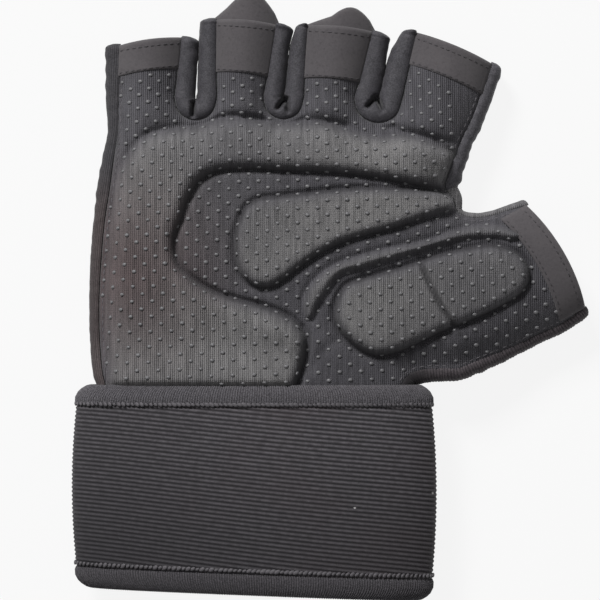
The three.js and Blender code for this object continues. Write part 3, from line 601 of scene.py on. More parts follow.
def stretch_cloth(name, low, high):
    """Smooth dark stretch cloth with a fine grain and a slight sheen."""
    finish, tree, shader, place = finish_of(name, 0.7, 0.1, 0.4, 0.22)
    grain = speckle(tree, place, 2300, 3, 0.7)
    folds = speckle(tree, place, 500, 3, 0.6)
    height = sums(tree, "ADD", grain, sums(tree, "MULTIPLY", folds, 0.35))
    relief(tree, shader, height, 0.75, 0.00014)
    tone = blend_colours(tree, bend_values(tree, height, 0.35, 1.0), low, high)
    # Painted shade darkens the cloth in its creases
    crease_shade = wire(tree, "ShaderNodeAttribute", attribute_name="painted_crease_shade").outputs["Fac"]
    tone = blend_colours(tree, sums(tree, "MULTIPLY", crease_shade, 0.75), tone, (0.008, 0.0075, 0.009))
    tree.links.new(tone, shader.inputs["Base Color"])
    return finish


def side_knit(name, low, high):
    """The plainer knit of the sides, with fine ribs along the strips and the heel's brown tint."""
    finish, tree, shader, place = finish_of(name, 0.85, 0.05, 0.45, 0.2)
    x, y, _ = split(tree, place)
    round_strip = wire(tree, "ShaderNodeAttribute", attribute_name="round_strip").outputs["Fac"]
    rib = sums(tree, "SINE", sums(tree, "MULTIPLY", round_strip, 2 * math.pi / 0.0007))
    fuzz = speckle(tree, place, 2200, 4, 0.75)
    height = sums(tree, "ADD", sums(tree, "MULTIPLY", rib, 0.14), fuzz)
    relief(tree, shader, height, 0.8, 0.00014)
    shade = bend_values(tree, height, 0.2, 0.9)
    plain = blend_colours(tree, shade, low, high)
    brown = blend_colours(tree, shade, (0.021, 0.017, 0.017), (0.084, 0.069, 0.070))
    warm = sums(tree, "MULTIPLY", bend_values(tree, y, 0.08, 0.1, 1, 0), sums(tree, "LESS_THAN", x, 0))
    tree.links.new(blend_colours(tree, warm, plain, brown), shader.inputs["Base Color"])
    return finish


def overlocked_edge():
    """Dark maroon overlock thread wound round an edge."""
    finish, tree, shader, place = finish_of("overlocked edge", 0.75, 0.06, 0.5, 0.25)
    rib = wire(tree, "ShaderNodeAttribute", attribute_name="rib_height").outputs["Fac"]
    fuzz = speckle(tree, place, 2600, 3, 0.7)
    relief(tree, shader, fuzz, 0.7, 0.00014)
    share = sums(tree, "MULTIPLY", rib, bend_values(tree, fuzz, 0.3, 0.7, 0.5, 1.3))
    tone = blend_colours(tree, share, (0.012, 0.0105, 0.012), (0.064, 0.054, 0.059))
    tree.links.new(tone, shader.inputs["Base Color"])
    return finish


def microfibre():
    """Matt brown-black microfibre of the bands and pull tabs."""
    finish, tree, shader, place = finish_of("microfibre", 0.95, 0.1, 0.6, 0.12)
    nap = speckle(tree, place, 1500, 4, 0.75)
    relief(tree, shader, nap, 0.3, 0.00008)
    tone = blend_colours(tree, bend_values(tree, nap, 0.3, 0.7), (0.058, 0.053, 0.0565), (0.070, 0.0645, 0.068))
    worn = bend_values(tree, speckle(tree, place, 120, 3), 0.4, 0.75, 0, 0.3)
    tone = blend_colours(tree, worn, tone, (0.085, 0.078, 0.08))
    pits = bend_values(tree, speckle(tree, place, 1000, 2), 0.55, 0.7, 0, 0.28)
    tone = blend_colours(tree, pits, tone, (0.032, 0.029, 0.031))
    tree.links.new(tone, shader.inputs["Base Color"])
    return finish


def ribbed_elastic():
    """Elastic webbing: the cords between the grooves are lighter than the grooves."""
    finish, tree, shader, place = finish_of("ribbed elastic", 0.8, 0.05, 0.5, 0.2)
    rib = wire(tree, "ShaderNodeAttribute", attribute_name="rib_height").outputs["Fac"]
    x, y, z = split(tree, place)
    yarn = sums(tree, "SINE", sums(tree, "MULTIPLY", x, 2 * math.pi / 0.0005))
    fuzz = speckle(tree, place, 2200, 3, 0.7)
    height = sums(tree, "ADD", sums(tree, "MULTIPLY", yarn, 0.3), fuzz)
    relief(tree, shader, height, 0.6, 0.0001)
    streak = wire(tree, "ShaderNodeMapping", {"Vector": place, "Scale": (700, 900, 300)}).outputs[0]
    share = sums(tree, "MULTIPLY", rib, bend_values(tree, speckle(tree, streak, 1.0, 3), 0.25, 0.75, 0.55, 1.1))
    tone = blend_colours(tree, share, (0.014, 0.013, 0.0145), (0.092, 0.086, 0.094))
    warm = sums(tree, "MULTIPLY", bend_values(tree, speckle(tree, place, 22, 2), 0.42, 0.72, 0, 1), 0.3)
    tone = blend_colours(tree, warm, tone, (0.046, 0.034, 0.036))
    shaded = sums(tree, "ADD", bend_values(tree, y, -0.03, 0.03, 0.5, 0), bend_values(tree, x, -0.055, 0.01, 0.28, 0))
    tone = blend_colours(tree, shaded, tone, (0.016, 0.015, 0.017))
    lint = wire(tree, "ShaderNodeTexVoronoi", {"Vector": place, "Scale": 130.0}).outputs
    spot = sums(tree, "MULTIPLY", bend_values(tree, lint["Distance"], 0.045, 0.065, 1, 0),
                sums(tree, "GREATER_THAN", split(tree, lint["Color"])[0], 0.7))
    tone = blend_colours(tree, spot, tone, (0.36, 0.35, 0.35))
    tree.links.new(tone, shader.inputs["Base Color"])
    return finish


def knit_tape():
    """Folded knit binding: short upright ribs, a little fuzzy, with painted shade that makes the lower tape darker than
    the upper one.
    """
    finish, tree, shader, place = finish_of("knit tape", 0.88, 0.08, 0.5, 0.2)
    rib = wire(tree, "ShaderNodeAttribute", attribute_name="rib_height").outputs["Fac"]
    fuzz = speckle(tree, place, 2400, 4, 0.75)
    relief(tree, shader, fuzz, 1.0, 0.0003)
    _, y, _ = split(tree, place)
    # Painted shade: the upper tape takes the lighter colours, the lower tape a darker copy of them
    low = sums(tree, "GREATER_THAN", y, 0)
    share = sums(tree, "MULTIPLY", sums(tree, "ADD", sums(tree, "MULTIPLY", rib, 0.8), 0.1),
                 bend_values(tree, fuzz, 0.3, 0.7, 0.2, 1.55))
    upper = blend_colours(tree, share, (0.014, 0.013, 0.015), (0.112, 0.106, 0.116))
    lower = blend_colours(tree, share, (0.010, 0.0095, 0.011), (0.074, 0.069, 0.076))
    tree.links.new(blend_colours(tree, low, lower, upper), shader.inputs["Base Color"])
    return finish


def silicone():
    finish, tree, shader, place = finish_of("silicone", 0.5, 0.0, 0.5, 0.42)
    tone = blend_colours(tree, speckle(tree, place, 300, 2), (0.085, 0.084, 0.088), (0.13, 0.128, 0.133))
    tree.links.new(tone, shader.inputs["Base Color"])
    return finish


def sewing_thread(name, low, high):
    finish, tree, shader, place = finish_of(name, 0.7, 0.05, 0.5, 0.3)
    twist = speckle(tree, place, 3000, 2)
    relief(tree, shader, twist, 0.5, 0.0001)
    tone = blend_colours(tree, twist, low, high)
    tree.links.new(tone, shader.inputs["Base Color"])
    return finish


def hook_tape():
    finish, tree, shader, place = finish_of("hook tape", 0.9, 0.0, 0.5, 0.2)
    hooks = wire(tree, "ShaderNodeTexVoronoi", {"Vector": place, "Scale": 1500.0}).outputs["Distance"]
    relief(tree, shader, hooks, 1.0, 0.0004)
    tone = blend_colours(tree, hooks, (0.020, 0.020, 0.022), (0.006, 0.006, 0.007))
    tree.links.new(tone, shader.inputs["Base Color"])
    return finish


KNIT, SUEDE = ribbed_knit(), microfibre()
SIDE_KNIT = side_knit("side knit", (0.015, 0.0145, 0.016), (0.064, 0.061, 0.067))
STRETCH = stretch_cloth("stretch cloth", (0.018, 0.0175, 0.020), (0.066, 0.063, 0.071))
EDGE_CLOTH = stretch_cloth("edge cloth", (0.030, 0.029, 0.033), (0.105, 0.101, 0.112))
ELASTIC, OVERLOCK = ribbed_elastic(), overlocked_edge()
TAPE, SILICONE, HOOKS = knit_tape(), silicone(), hook_tape()
THREAD = sewing_thread("sewing thread", (0.035, 0.032, 0.036), (0.115, 0.108, 0.117))
BAND_THREAD = sewing_thread("band thread", (0.020, 0.018, 0.020), (0.058, 0.054, 0.058))


# ---------------------------------------------------------------- trees for what repeats
def tree_with_inputs(name, sockets):
    tree = bpy.data.node_groups.new(name, "GeometryNodeTree")
    face = tree.interface
    face.new_socket("Geometry", in_out="INPUT", socket_type="NodeSocketGeometry")
    for label, kind, value in sockets:
        socket = face.new_socket(label, in_out="INPUT", socket_type=kind)
        if value is not None:
            socket.default_value = value
    face.new_socket("Geometry", in_out="OUTPUT", socket_type="NodeSocketGeometry")
    return tree, wire(tree, "NodeGroupInput").outputs, wire(tree, "NodeGroupOutput")


def grown(piece, tree, values):
    """Runs a tree on a piece with values for its named inputs, and keeps the plain mesh."""
    modifier = piece.modifiers.new(tree.name, "NODES")
    modifier.node_group = tree
    for item in tree.interface.items_tree:
        if item.in_out == "INPUT" and item.name in values:
            modifier[item.identifier] = values[item.name]
    return bake(piece)


def scatter_tree():
    """One small rounded body on each point: a dot, or a stitch that lies along the seam."""
    tree, given, out = tree_with_inputs("small bodies on points", [
        ("Length", "NodeSocketFloat", 0.001), ("Width", "NodeSocketFloat", 0.001),
        ("Height", "NodeSocketFloat", 0.0005), ("Unevenness", "NodeSocketFloat", 0.1),
        ("Seed", "NodeSocketInt", 1), ("Finish", "NodeSocketMaterial", None)])
    ball = wire(tree, "GeometryNodeMeshIcoSphere", {"Radius": 0.5, "Subdivisions": 2}).outputs["Mesh"]
    size = wire(tree, "ShaderNodeCombineXYZ", {0: given["Length"], 1: given["Width"], 2: given["Height"]}).outputs[0]
    body = wire(tree, "GeometryNodeTransform", {"Geometry": ball, "Scale": size}).outputs[0]
    body = wire(tree, "GeometryNodeSetShadeSmooth", {"Geometry": body}).outputs[0]
    up = wire(tree, "GeometryNodeInputNamedAttribute", {"Name": "up"}, data_type="FLOAT_VECTOR").outputs[0]
    along = wire(tree, "GeometryNodeInputNamedAttribute", {"Name": "along"}, data_type="FLOAT_VECTOR").outputs[0]
    turn = wire(tree, "FunctionNodeAlignRotationToVector", {"Vector": up}, axis="Z").outputs[0]
    turn = wire(tree, "FunctionNodeAlignRotationToVector", {"Rotation": turn, "Vector": along},
                axis="X", pivot_axis="Z").outputs[0]
    least = wire(tree, "ShaderNodeMath", {0: 1.0, 1: given["Unevenness"]}, operation="SUBTRACT").outputs[0]
    most = wire(tree, "ShaderNodeMath", {0: 1.0, 1: given["Unevenness"]}, operation="ADD").outputs[0]
    scale = wire(tree, "FunctionNodeRandomValue", {2: least, 3: most, "Seed": given["Seed"]}, data_type="FLOAT").outputs[1]
    placed = wire(tree, "GeometryNodeInstanceOnPoints", {
        "Points": given["Geometry"], "Instance": body, "Rotation": turn, "Scale": scale}).outputs[0]
    real = wire(tree, "GeometryNodeRealizeInstances", {"Geometry": placed}).outputs[0]
    done = wire(tree, "GeometryNodeSetMaterial", {"Geometry": real, "Material": given["Finish"]}).outputs[0]
    tree.links.new(done, out.inputs["Geometry"])
    return tree


def rib_tree():
    """Raises rounded ribs with narrow grooves, counted by the rib_place attribute."""
    tree, given, out = tree_with_inputs("raised ribs", [
        ("Pitch", "NodeSocketFloat", 0.001), ("Depth", "NodeSocketFloat", 0.0003),
        ("Roundness", "NodeSocketFloat", 0.6), ("Finish", "NodeSocketMaterial", None)])

    def named(name):
        return wire(tree, "GeometryNodeInputNamedAttribute", {"Name": name}, data_type="FLOAT").outputs[0]

    turns = sums(tree, "MULTIPLY", sums(tree, "DIVIDE", named("rib_place"), given["Pitch"]), math.pi)
    rise = sums(tree, "POWER", sums(tree, "ABSOLUTE", sums(tree, "SINE", turns)), given["Roundness"])
    shown = sums(tree, "MULTIPLY", rise, named("rib_share"))
    raised = wire(tree, "GeometryNodeStoreNamedAttribute", {
        "Geometry": given["Geometry"], "Name": "rib_height", "Value": shown}, data_type="FLOAT").outputs[0]
    normal = wire(tree, "GeometryNodeInputNormal").outputs[0]
    push = sums(tree, "MULTIPLY", shown, given["Depth"])
    offset = wire(tree, "ShaderNodeVectorMath", {0: normal, "Scale": push}, operation="SCALE").outputs[0]
    moved = wire(tree, "GeometryNodeSetPosition", {"Geometry": raised, "Offset": offset}).outputs[0]
    real = wire(tree, "GeometryNodeRealizeInstances", {"Geometry": moved}).outputs[0]
    done = wire(tree, "GeometryNodeSetMaterial", {"Geometry": real, "Material": given["Finish"]}).outputs[0]
    tree.links.new(done, out.inputs["Geometry"])
    return tree


SCATTER, RIBS = scatter_tree(), rib_tree()


def small_bodies(name, places, ups, alongs, values):
    seeds = new_piece(name, places, [], values["Finish"])
    for label, vectors in (("up", ups), ("along", alongs)):
        attribute = seeds.data.attributes.new(label, "FLOAT_VECTOR", "POINT")
        attribute.data.foreach_set("vector", np.asarray(vectors, float).ravel())
    return grown(seeds, SCATTER, values)


def ribbed(piece, place, share, pitch, depth, roundness, finish):
    mark(piece, "rib_place", place * MM)
    mark(piece, "rib_share", share)
    return grown(piece, RIBS, {"Pitch": pitch * MM, "Depth": depth * MM, "Roundness": roundness, "Finish": finish})


def surface_up(height, x, y, reach=0.3):
    """Unit normals of a height function."""
    dx = (height(x + reach, y) - height(x - reach, y)) / (2 * reach)
    dy = (height(x, y + reach) - height(x, y - reach)) / (2 * reach)
    up = np.column_stack([-dx, -dy, np.ones(len(dx))])
    return up / np.linalg.norm(up, axis=1)[:, None]


# ---------------------------------------------------------------- the hand's pieces
def palm_cloth():
    """The padded palm: one knit cloth over all the pads."""
    def height(x, y):
        unrest = np.array([noise.noise(Vector((a * 0.09, b * 0.09, 3))) for a, b in zip(x, y)])
        return cloth_top(x, y) + 0.22 * unrest
    channels = [*pads.values(), flex_line, *(line for line, _, _ in CREASES)]
    piece = cloth_patch("palm_cloth", outline, height, 1.3, 0.75, KNIT, channels)
    places = np.array([v.co[:2] for v in piece.data.vertices]) / MM
    x, y = places.T
    deep = np.max([near_line(line, x, y, 9.0) for line in pads.values()], axis=0)
    deep = np.where(inside_of(pads["outer"], x, y) & (deep < -8), 9, deep)
    # The pads' paleness, raised by painted light spots and lowered by painted shade spots, plus painted light in the
    # valley between the pads
    light = 0.74 + sum(change * np.exp(-((x - cx) ** 2 + (y - cy) ** 2) / wide**2)
                      for (cx, cy), wide, change in PAINTED_LIGHT_SPOTS)
    (cx, cy), wide, change = PAINTED_VALLEY_LIGHT
    valley_painted_light = change * np.exp(-((x - cx) ** 2 + (y - cy) ** 2) / wide**2)
    mark(piece, "over_foam_and_painted_light", np.clip(smoothstep(deep, -0.5, 4.5) * light + valley_painted_light, 0, 1))
    # Painted shade: the cloth is coloured darker along the sewn grooves of the pads and along the flex line
    sewn = (pads["middle"], pads["thumb"], flex_line, outer_parts[0])
    near = np.min([np.abs(near_line(line, x, y)) for line in sewn], axis=0)
    mark(piece, "painted_crease_shade", np.exp(-(near / 0.9) ** 2) * (1 - smoothstep(x - 0.25 * y, 26, 34) * (y > 80)))
    return piece


def back_cloth():
    return cloth_patch("back_cloth", outline, lambda x, y: back_bottom(x, y) + 1.3, 1.25, 2.2, STRETCH)


def side_strip(name, seam, pucker, puff=0.6, tuck=0.75, finish=STRETCH, crest=0.12, fold=None, ribs=None,
               rounded=(True, True)):
    """A rolled strip of cloth along a seam, from the palm round to the back. rounded says which ends are."""
    tangent = np.gradient(seam[:, :2], axis=0)
    tangent /= np.linalg.norm(tangent, axis=1)[:, None]
    out = np.column_stack([-tangent[:, 1], tangent[:, 0]])
    x, y = seam[:, 0], seam[:, 1]
    puff, tuck = np.broadcast_to(puff, len(seam)), np.broadcast_to(tuck, len(seam))
    along = np.concatenate([[0], np.cumsum(np.linalg.norm(np.diff(seam[:, :2], axis=0), axis=1))])
    from_ends = [np.where(is_round, reach, 9) for is_round, reach in zip(rounded, (along, along[-1] - along))]
    ends = np.clip(np.minimum(*from_ends) / 1.6, 0, 1)
    full = np.sqrt(np.clip(1 - (1 - ends) ** 2, 0.06, 1))
    high, low = palm_top(x, y) + puff - 1.1 * (1 - full), back_bottom(x, y) + 0.1
    middle, half = (high + low) / 2, (high - low) / 2
    unrest = np.array([noise.noise(Vector((a * 0.16, len(name), 0))) for a in along])
    lumps = np.array([noise.noise(Vector((a * 0.42, len(name), 5))) for a in along])
    reach = (seam[:, 2] + CLEARANCE) * (1 + 0.22 * pucker * unrest + 0.55 * pucker * lumps) * (0.5 + 0.5 * full)
    rings, rounds, crease_shade = [], [], []
    for k in range(len(seam)):
        centre = reach[k] * crest
        width = reach[k] - centre
        first = math.acos(max(-0.85, -(centre + tuck[k]) / width))
        angle = np.linspace(first, -math.pi / 2 - 0.55, 30)
        c, s = np.cos(angle), np.sin(angle)
        power = np.where(s > 0, 0.85, 1.0)
        flat = np.column_stack([centre + width * c, middle[k] + half[k] * np.sign(s) * np.abs(s) ** power])
        creased = np.zeros(len(angle))
        wrinkle = np.array([noise.noise(Vector((along[k] * 0.45, a * 1.1, len(name)))) for a in angle])
        flat[:, 1] += pucker * 1.6 * wrinkle * np.clip(s + 0.2, 0, 1)
        if fold is not None:
            meeting, turns, deep = fold
            spot = seam[k, :2] + out[k] * flat[:, :1] - meeting
            for turn in np.radians(turns):
                ahead = spot @ np.array([math.cos(turn), math.sin(turn)])
                aside = spot @ np.array([-math.sin(turn), math.cos(turn)])
                open_part = smoothstep(ahead, -0.6, 0.2) * (1 - smoothstep(ahead, 3.6, 5.2))
                crease = np.exp(-(aside / 0.6) ** 2) * open_part * (s > 0)
                flat[:, 1] -= deep * crease
                creased = np.maximum(creased, crease)
        run = np.gradient(flat, axis=0)
        run /= np.maximum(np.linalg.norm(run, axis=1), 1e-6)[:, None]
        normal = np.column_stack([-run[:, 1], run[:, 0]])
        wall = 0.55 * full[k]
        loop = np.vstack([flat + normal * (wall - 0.55), (flat - normal * (wall + 0.55))[::-1]])
        loop[:, 1] = np.maximum(loop[:, 1], low[k] - 0.08)
        rings.append(np.column_stack([x[k] + out[k, 0] * loop[:, 0], y[k] + out[k, 1] * loop[:, 0], loop[:, 1]]))
        turned = np.concatenate([[0], np.cumsum(np.linalg.norm(np.diff(flat, axis=0), axis=1))])
        rounds.append(np.concatenate([turned, turned[::-1]]))
        crease_shade.append(np.concatenate([creased, creased[::-1]]))
    rings = np.array(rings)
    piece = sweep(name, rings, finish)
    mark(piece, "round_strip", np.array(rounds) * MM)
    # Painted shade: the fold creases at the bottom of each gap are marked to be coloured darker
    mark(piece, "painted_crease_shade", crease_shade)
    if ribs is None:
        return piece
    pitch, depth = ribs
    shake = np.array([noise.noise(Vector((a * 0.5, 2, 7))) for a in along])
    turned = np.linspace(0, 0.8, rings.shape[1] // 2)
    place = (along + 0.5 * shake)[:, None] + np.concatenate([turned, turned[::-1]])[None]
    share = np.tile(np.concatenate([np.ones(30), np.zeros(30)]), (len(rings), 1))
    share = share * (smoothstep(ends, 0.1, 0.9) * smoothstep(x, 45, 58))[:, None]
    return ribbed(piece, place, share, pitch, depth, 0.8, finish)


def end_band(name, tips, inwards, depth, rise=0.55):
    """A folded band over a finger's end: outer face, turned over the edge and back inside."""
    over = [(depth, -0.25), (depth + 0.05, 0.1), (depth - 0.2, rise)]
    over += [(s, rise) for s in np.linspace(depth - 0.8, 0.4, 16)]
    over += [(-1.2 * math.sin(t) + 0.2, rise - 1.25 + 1.25 * math.cos(t)) for t in np.linspace(0.15, math.pi, 9)]
    over += [(2.6, rise - 2.5), (2.6, rise - 1.95), (0.4, rise - 1.95), (-0.25, rise - 1.6), (0.2, -0.05), (1.2, -0.25)]
    rings = []
    for tip, inward in zip(tips, inwards):
        s = np.array([p[0] for p in over])
        h = np.array([p[1] for p in over])
        flat = tip[None] + inward[None] * s[:, None]
        held = tip[None] + inward[None] * np.maximum(s, 0.3)[:, None]
        rings.append(np.column_stack([flat, palm_top(held[:, 0], held[:, 1]) + h]))
    return sweep(name, np.array(rings), SUEDE)


def finger_band(name):
    (left_root, left_tip), (right_root, right_tip) = finger_seam(name, -1), finger_seam(name, 1)
    share = np.linspace(-0.01, 1.01, 30)
    across = right_tip - left_tip
    up = np.array([-across[1], across[0]]) / np.linalg.norm(across)
    tips = [lerp(left_tip, right_tip, t) + up * 0.9 * 4 * t * (1 - t) * 0.5 for t in share]
    left_in, right_in = left_root - left_tip, right_root - right_tip
    inwards = [lerp(left_in / np.linalg.norm(left_in), right_in / np.linalg.norm(right_in), t) for t in share]
    return end_band(f"band_{name}", tips, inwards, FINGERS[name][6] * BAND_HEIGHT)


def thumb_band():
    tips = resample(thumb_end, 1.1)
    inwards = [-THUMB_ALONG] * len(tips)
    return end_band("band_thumb", tips, inwards, THUMB_BAND)


# Each pull tab's outline above its neck: sideways as a share of its half width, up as a share of its length
TAB_EDGES = {
    "ring": (1.25, [(0.68, 0.46), (0.6, 0.56), (0.51, 0.67), (0.41, 0.78), (0.28, 0.9), (0.14, 0.975), (0, 1)]),
    "middle": (1, [(0.5, 0.57), (0.42, 0.68), (0.34, 0.785), (0.24, 0.885), (0.13, 0.965), (0, 1)]),
}


def pull_tab(name):
    (_, left), (_, right) = finger_seam(name, -1), finger_seam(name, 1)
    across = (right - left) / np.linalg.norm(right - left)
    up = np.array([-across[1], across[0]])
    under = np.linalg.norm(right - left) / 2 - CLEARANCE
    longer, apex = TAB_EDGES[name]
    spread, reach = under + 2.2, FINGERS[name][9] * TAB_LENGTH * longer
    skew = FINGERS[name][10] * FINGER_WIDTH
    half = [(under - 0.4, -4), (under - 0.4, -0.8), (spread - 1.2, -0.4), (spread, 0.3), (spread * 0.96, 0.9)]
    half += [(a * spread + skew, b * reach) for a, b in apex]
    other = [(-a if b < 1 else 2 * skew - a, b) for a, b in half[-2::-1]]
    middle = (left + right) / 2
    corners = np.array([middle + across * a + up * b for a, b in half + other])
    line = resample(np.vstack([corners, corners[:1]]), 0.6)[:-1]
    edge = np.vstack([line, line[:1]])
    if np.sum(edge[:-1, 0] * edge[1:, 1] - edge[1:, 0] * edge[:-1, 1]) > 0:
        edge = edge[::-1]

    def height(x, y):
        inside = distance_to([edge], x, y)
        beyond = np.clip(((np.column_stack([x, y]) - middle) @ up), 0, None)
        held = np.column_stack([x, y]) - beyond[:, None] * up
        return palm_top(held[:, 0], held[:, 1]) - 1.6 + 0.5 * np.sqrt(np.clip(inside / 1.2, 0, 1)) - 0.10 * beyond
    return cloth_patch(f"tab_{name}", line, height, 1.0, 0.6, SUEDE)


# ---------------------------------------------------------------- the wrap
def oval(angle, grow, share):
    c, s = np.cos(angle), np.sin(angle)
    power = 2 / ROUNDNESS
    x = (half_span_at(share) + grow) * np.sign(c) * np.abs(c) ** power
    z = OVAL_CENTRE + (OVAL_HALF_HEIGHT + grow) * np.sign(s) * np.abs(s) ** power
    return x, np.maximum(z, CUFF_FLOOR - grow)


def strap_angles(first, last, step):
    """Angles a step apart, in millimetres, along the strap."""
    fine = np.linspace(first, last, 6000)
    x, z = oval(fine, 1.0, 0.5)
    along = np.concatenate([[0], np.cumsum(np.hypot(np.diff(x), np.diff(z)))])
    at = np.linspace(0, along[-1], round(along[-1] / step) + 1)
    return np.interp(at, along, fine), at


def strap_rings(angles, shares, grows):
    rings = []
    for angle in angles:
        lift = LAYER * smoothstep(angle, LIFT_FROM, LIFT_TO)
        crown = WRAP_CROWN * max(0, math.sin(angle)) * (1 - (2 * shares - 1) ** 2)
        x, z = oval(angle, grows + lift + crown, shares)
        z = np.maximum(z, UNDERSIDE)
        y = lerp(-WRAP_WIDTH / 2 - RIM_SLOPE * x, UPPER_RIM, shares)
        rings.append(np.column_stack([x, y, z]))
    return np.array(rings)


def wrist_strap():
    binding = BINDING_WIDTH / WRAP_WIDTH
    outer = np.linspace(binding * 0.8, 1 - binding * 0.8, 262)
    inner = np.linspace(1 - binding * 0.8, binding * 0.8, 14)
    shares = np.concatenate([outer, inner])
    grows = np.concatenate([np.full(len(outer), STRAP - 0.45), np.full(len(inner), 0.1)])
    angles, along = strap_angles(STRAP_START, STRAP_END, 1.5)
    rings = strap_rings(angles, shares, grows)
    piece = sweep("wrist_strap", rings, ELASTIC)
    across = np.linspace(-OVAL_HALF_SPAN, OVAL_HALF_SPAN, 80)
    slope = np.tan(np.radians(np.interp(across, *RIB_SLOPES)))
    fallen = np.concatenate([[0], np.cumsum((slope[1:] + slope[:-1]) / 2 * np.diff(across))])
    fall = np.interp(rings[:, :, 0], across, fallen)
    place = rings[:, :, 1] + fall * (1 + 0.17 * (0.5 - np.tile(shares, (len(rings), 1))) * 2)
    top = np.concatenate([np.ones(len(outer)), np.zeros(len(inner))])
    fade = np.interp(shares, [binding * 0.9, binding * 1.15, 1 - binding * 1.15, 1 - binding * 0.9], [0, 1, 1, 0])
    share = np.tile(top * fade, (len(angles), 1))
    return ribbed(piece, place, share, 1.26, 0.32, 1.5, ELASTIC)


def binding_tape(name, rim):
    """Knit tape folded over a rim of the strap. rim is 0 for the lower and 1 for the upper one."""
    reach = BINDING_WIDTH / WRAP_WIDTH
    edge = 1.2 / WRAP_WIDTH
    section = [(reach, 1.15), (reach * 0.97, 1.75), (reach * 0.85, 2.05), (reach * 0.6, 2.2), (reach * 0.35, 2.15),
               (edge, 1.9), (edge * 0.3, 1.4), (0, 0.9), (edge * 0.3, 0.3), (edge, 0.0), (reach * 0.5, -0.05),
               (reach, 0.0), (reach * 1.0, 0.55)]
    shares = np.array([abs(rim - s) for s, _ in section])
    grows = np.array([g for _, g in section])
    angles, along = strap_angles(STRAP_START, STRAP_END, 0.14)
    rings = strap_rings(angles, shares, grows)
    piece = sweep(name, rings, TAPE)
    slant = np.array([0.0, 0, 0.1, 0.2, 0.3, 0.4, 0.4, 0.4, 0.4, 0.4, 0.4, 0.4, 0.4])
    wobble = np.array([0.25 * noise.noise(Vector((a * 0.2, rim * 9, 1))) for a in along])
    place = (along + wobble)[:, None] + slant[None]
    share = np.tile(np.array([0.4, 0.8, 1, 1, 1, 1, 1, 0.8, 0.6, 0.2, 0, 0, 0.1]), (len(angles), 1))
    return ribbed(piece, place, share, 0.74, 0.3, 0.9, TAPE)


def rim_stitches():
    """Slanted overlock stitches beside both bindings."""
    places, ups, alongs = [], [], []
    for share, slant, proud in ((1 - 5.7 / WRAP_WIDTH, 0.5, 0.15), (7.3 / WRAP_WIDTH, -0.5, 0.0)):
        angles, _ = strap_angles(STRAP_START, STRAP_END, 1.4)
        here = strap_rings(angles, np.array([share]), np.array([STRAP + proud]))[:, 0]
        out = strap_rings(angles, np.array([share]), np.array([STRAP + 1.1]))[:, 0] - here
        run = np.gradient(here, axis=0)
        run /= np.linalg.norm(run, axis=1)[:, None]
        places.append(here)
        ups.append(out / np.linalg.norm(out, axis=1)[:, None])
        alongs.append(run + np.array([0, slant, 0]))
    return small_bodies("rim_stitches", np.vstack(places), np.vstack(ups), np.vstack(alongs), {
        "Length": 1.8 * MM, "Width": 1.1 * MM, "Height": 0.68 * MM, "Unevenness": 0.25, "Seed": 4, "Finish": THREAD})


def closure():
    """The end of the hook-and-loop closure, under the wrist."""
    first = STRAP_END + math.radians(0.6)
    angles = np.linspace(first, first + 14 / OVAL_HALF_SPAN, 24)
    margin = (WRAP_WIDTH - 46) / 2 / WRAP_WIDTH
    shares = np.concatenate([np.linspace(margin, 1 - margin, 30), np.linspace(1 - margin, margin, 30)])
    grows = np.concatenate([np.full(30, 1.15), np.full(30, 0.1)])
    rings = strap_rings(angles, shares, grows)
    t = np.clip((angles - angles[-1] + 0.05) / 0.05, 0, 1)
    middle = rings[:, :, 1].mean(1)[:, None]
    rings[:, :, 1] = middle + (rings[:, :, 1] - middle) * (1 - 0.12 * t**2)[:, None]
    return sweep("closure_hooks", rings, HOOKS)


# ---------------------------------------------------------------- dots and stitches of the palm
def grip_dots():
    """Rows of small domes on the knit, every second row set over by half a pitch."""
    lattice = []
    for column in range(-20, 40):
        for row in range(-8, 36):
            y = 30 + row * 4.7 - 0.016 * row**2 + (column % 2) * 2.2
            x = column * (3.22 - 0.0045 * (y - 30)) + row * 0.1
            y += 0.03 * x
            lattice.append((x, y))
    lattice = np.array(lattice)
    inside = distance_to([np.vstack([outline, outline[:1]])], lattice[:, 0], lattice[:, 1])
    keep = (inside > 0.9) & (lattice[:, 1] > UPPER_RIM + 0.5) & inside_of(outline, lattice[:, 0], lattice[:, 1])
    for name in FINGERS:
        (left_root, left_tip), (right_root, right_tip) = finger_seam(name, -1), finger_seam(name, 1)
        across = (right_tip - left_tip) / np.linalg.norm(right_tip - left_tip)
        up = np.array([-across[1], across[0]])
        beyond = (lattice - left_tip) @ up > -(FINGERS[name][6] * BAND_HEIGHT + 0.8)
        near = np.abs((lattice - (left_tip + right_tip) / 2) @ across) < 14
        keep &= ~(beyond & near)
    along_thumb = (lattice - thumb_point(1, 0)) @ THUMB_ALONG
    keep &= ~((along_thumb > -THUMB_BAND + 1) & (lattice[:, 0] > 60))
    spots = lattice[keep]
    x, y = spots[:, 0], spots[:, 1]
    up = surface_up(cloth_top, x, y)
    places = np.column_stack([x, y, cloth_top(x, y)]) + up * 0.05
    return small_bodies("grip_dots", places, up, np.tile([1.0, 0, 0], (len(x), 1)), {
        "Length": 1.4 * MM, "Width": 1.1 * MM, "Height": 0.8 * MM, "Unevenness": 0.12, "Seed": 7, "Finish": SILICONE})


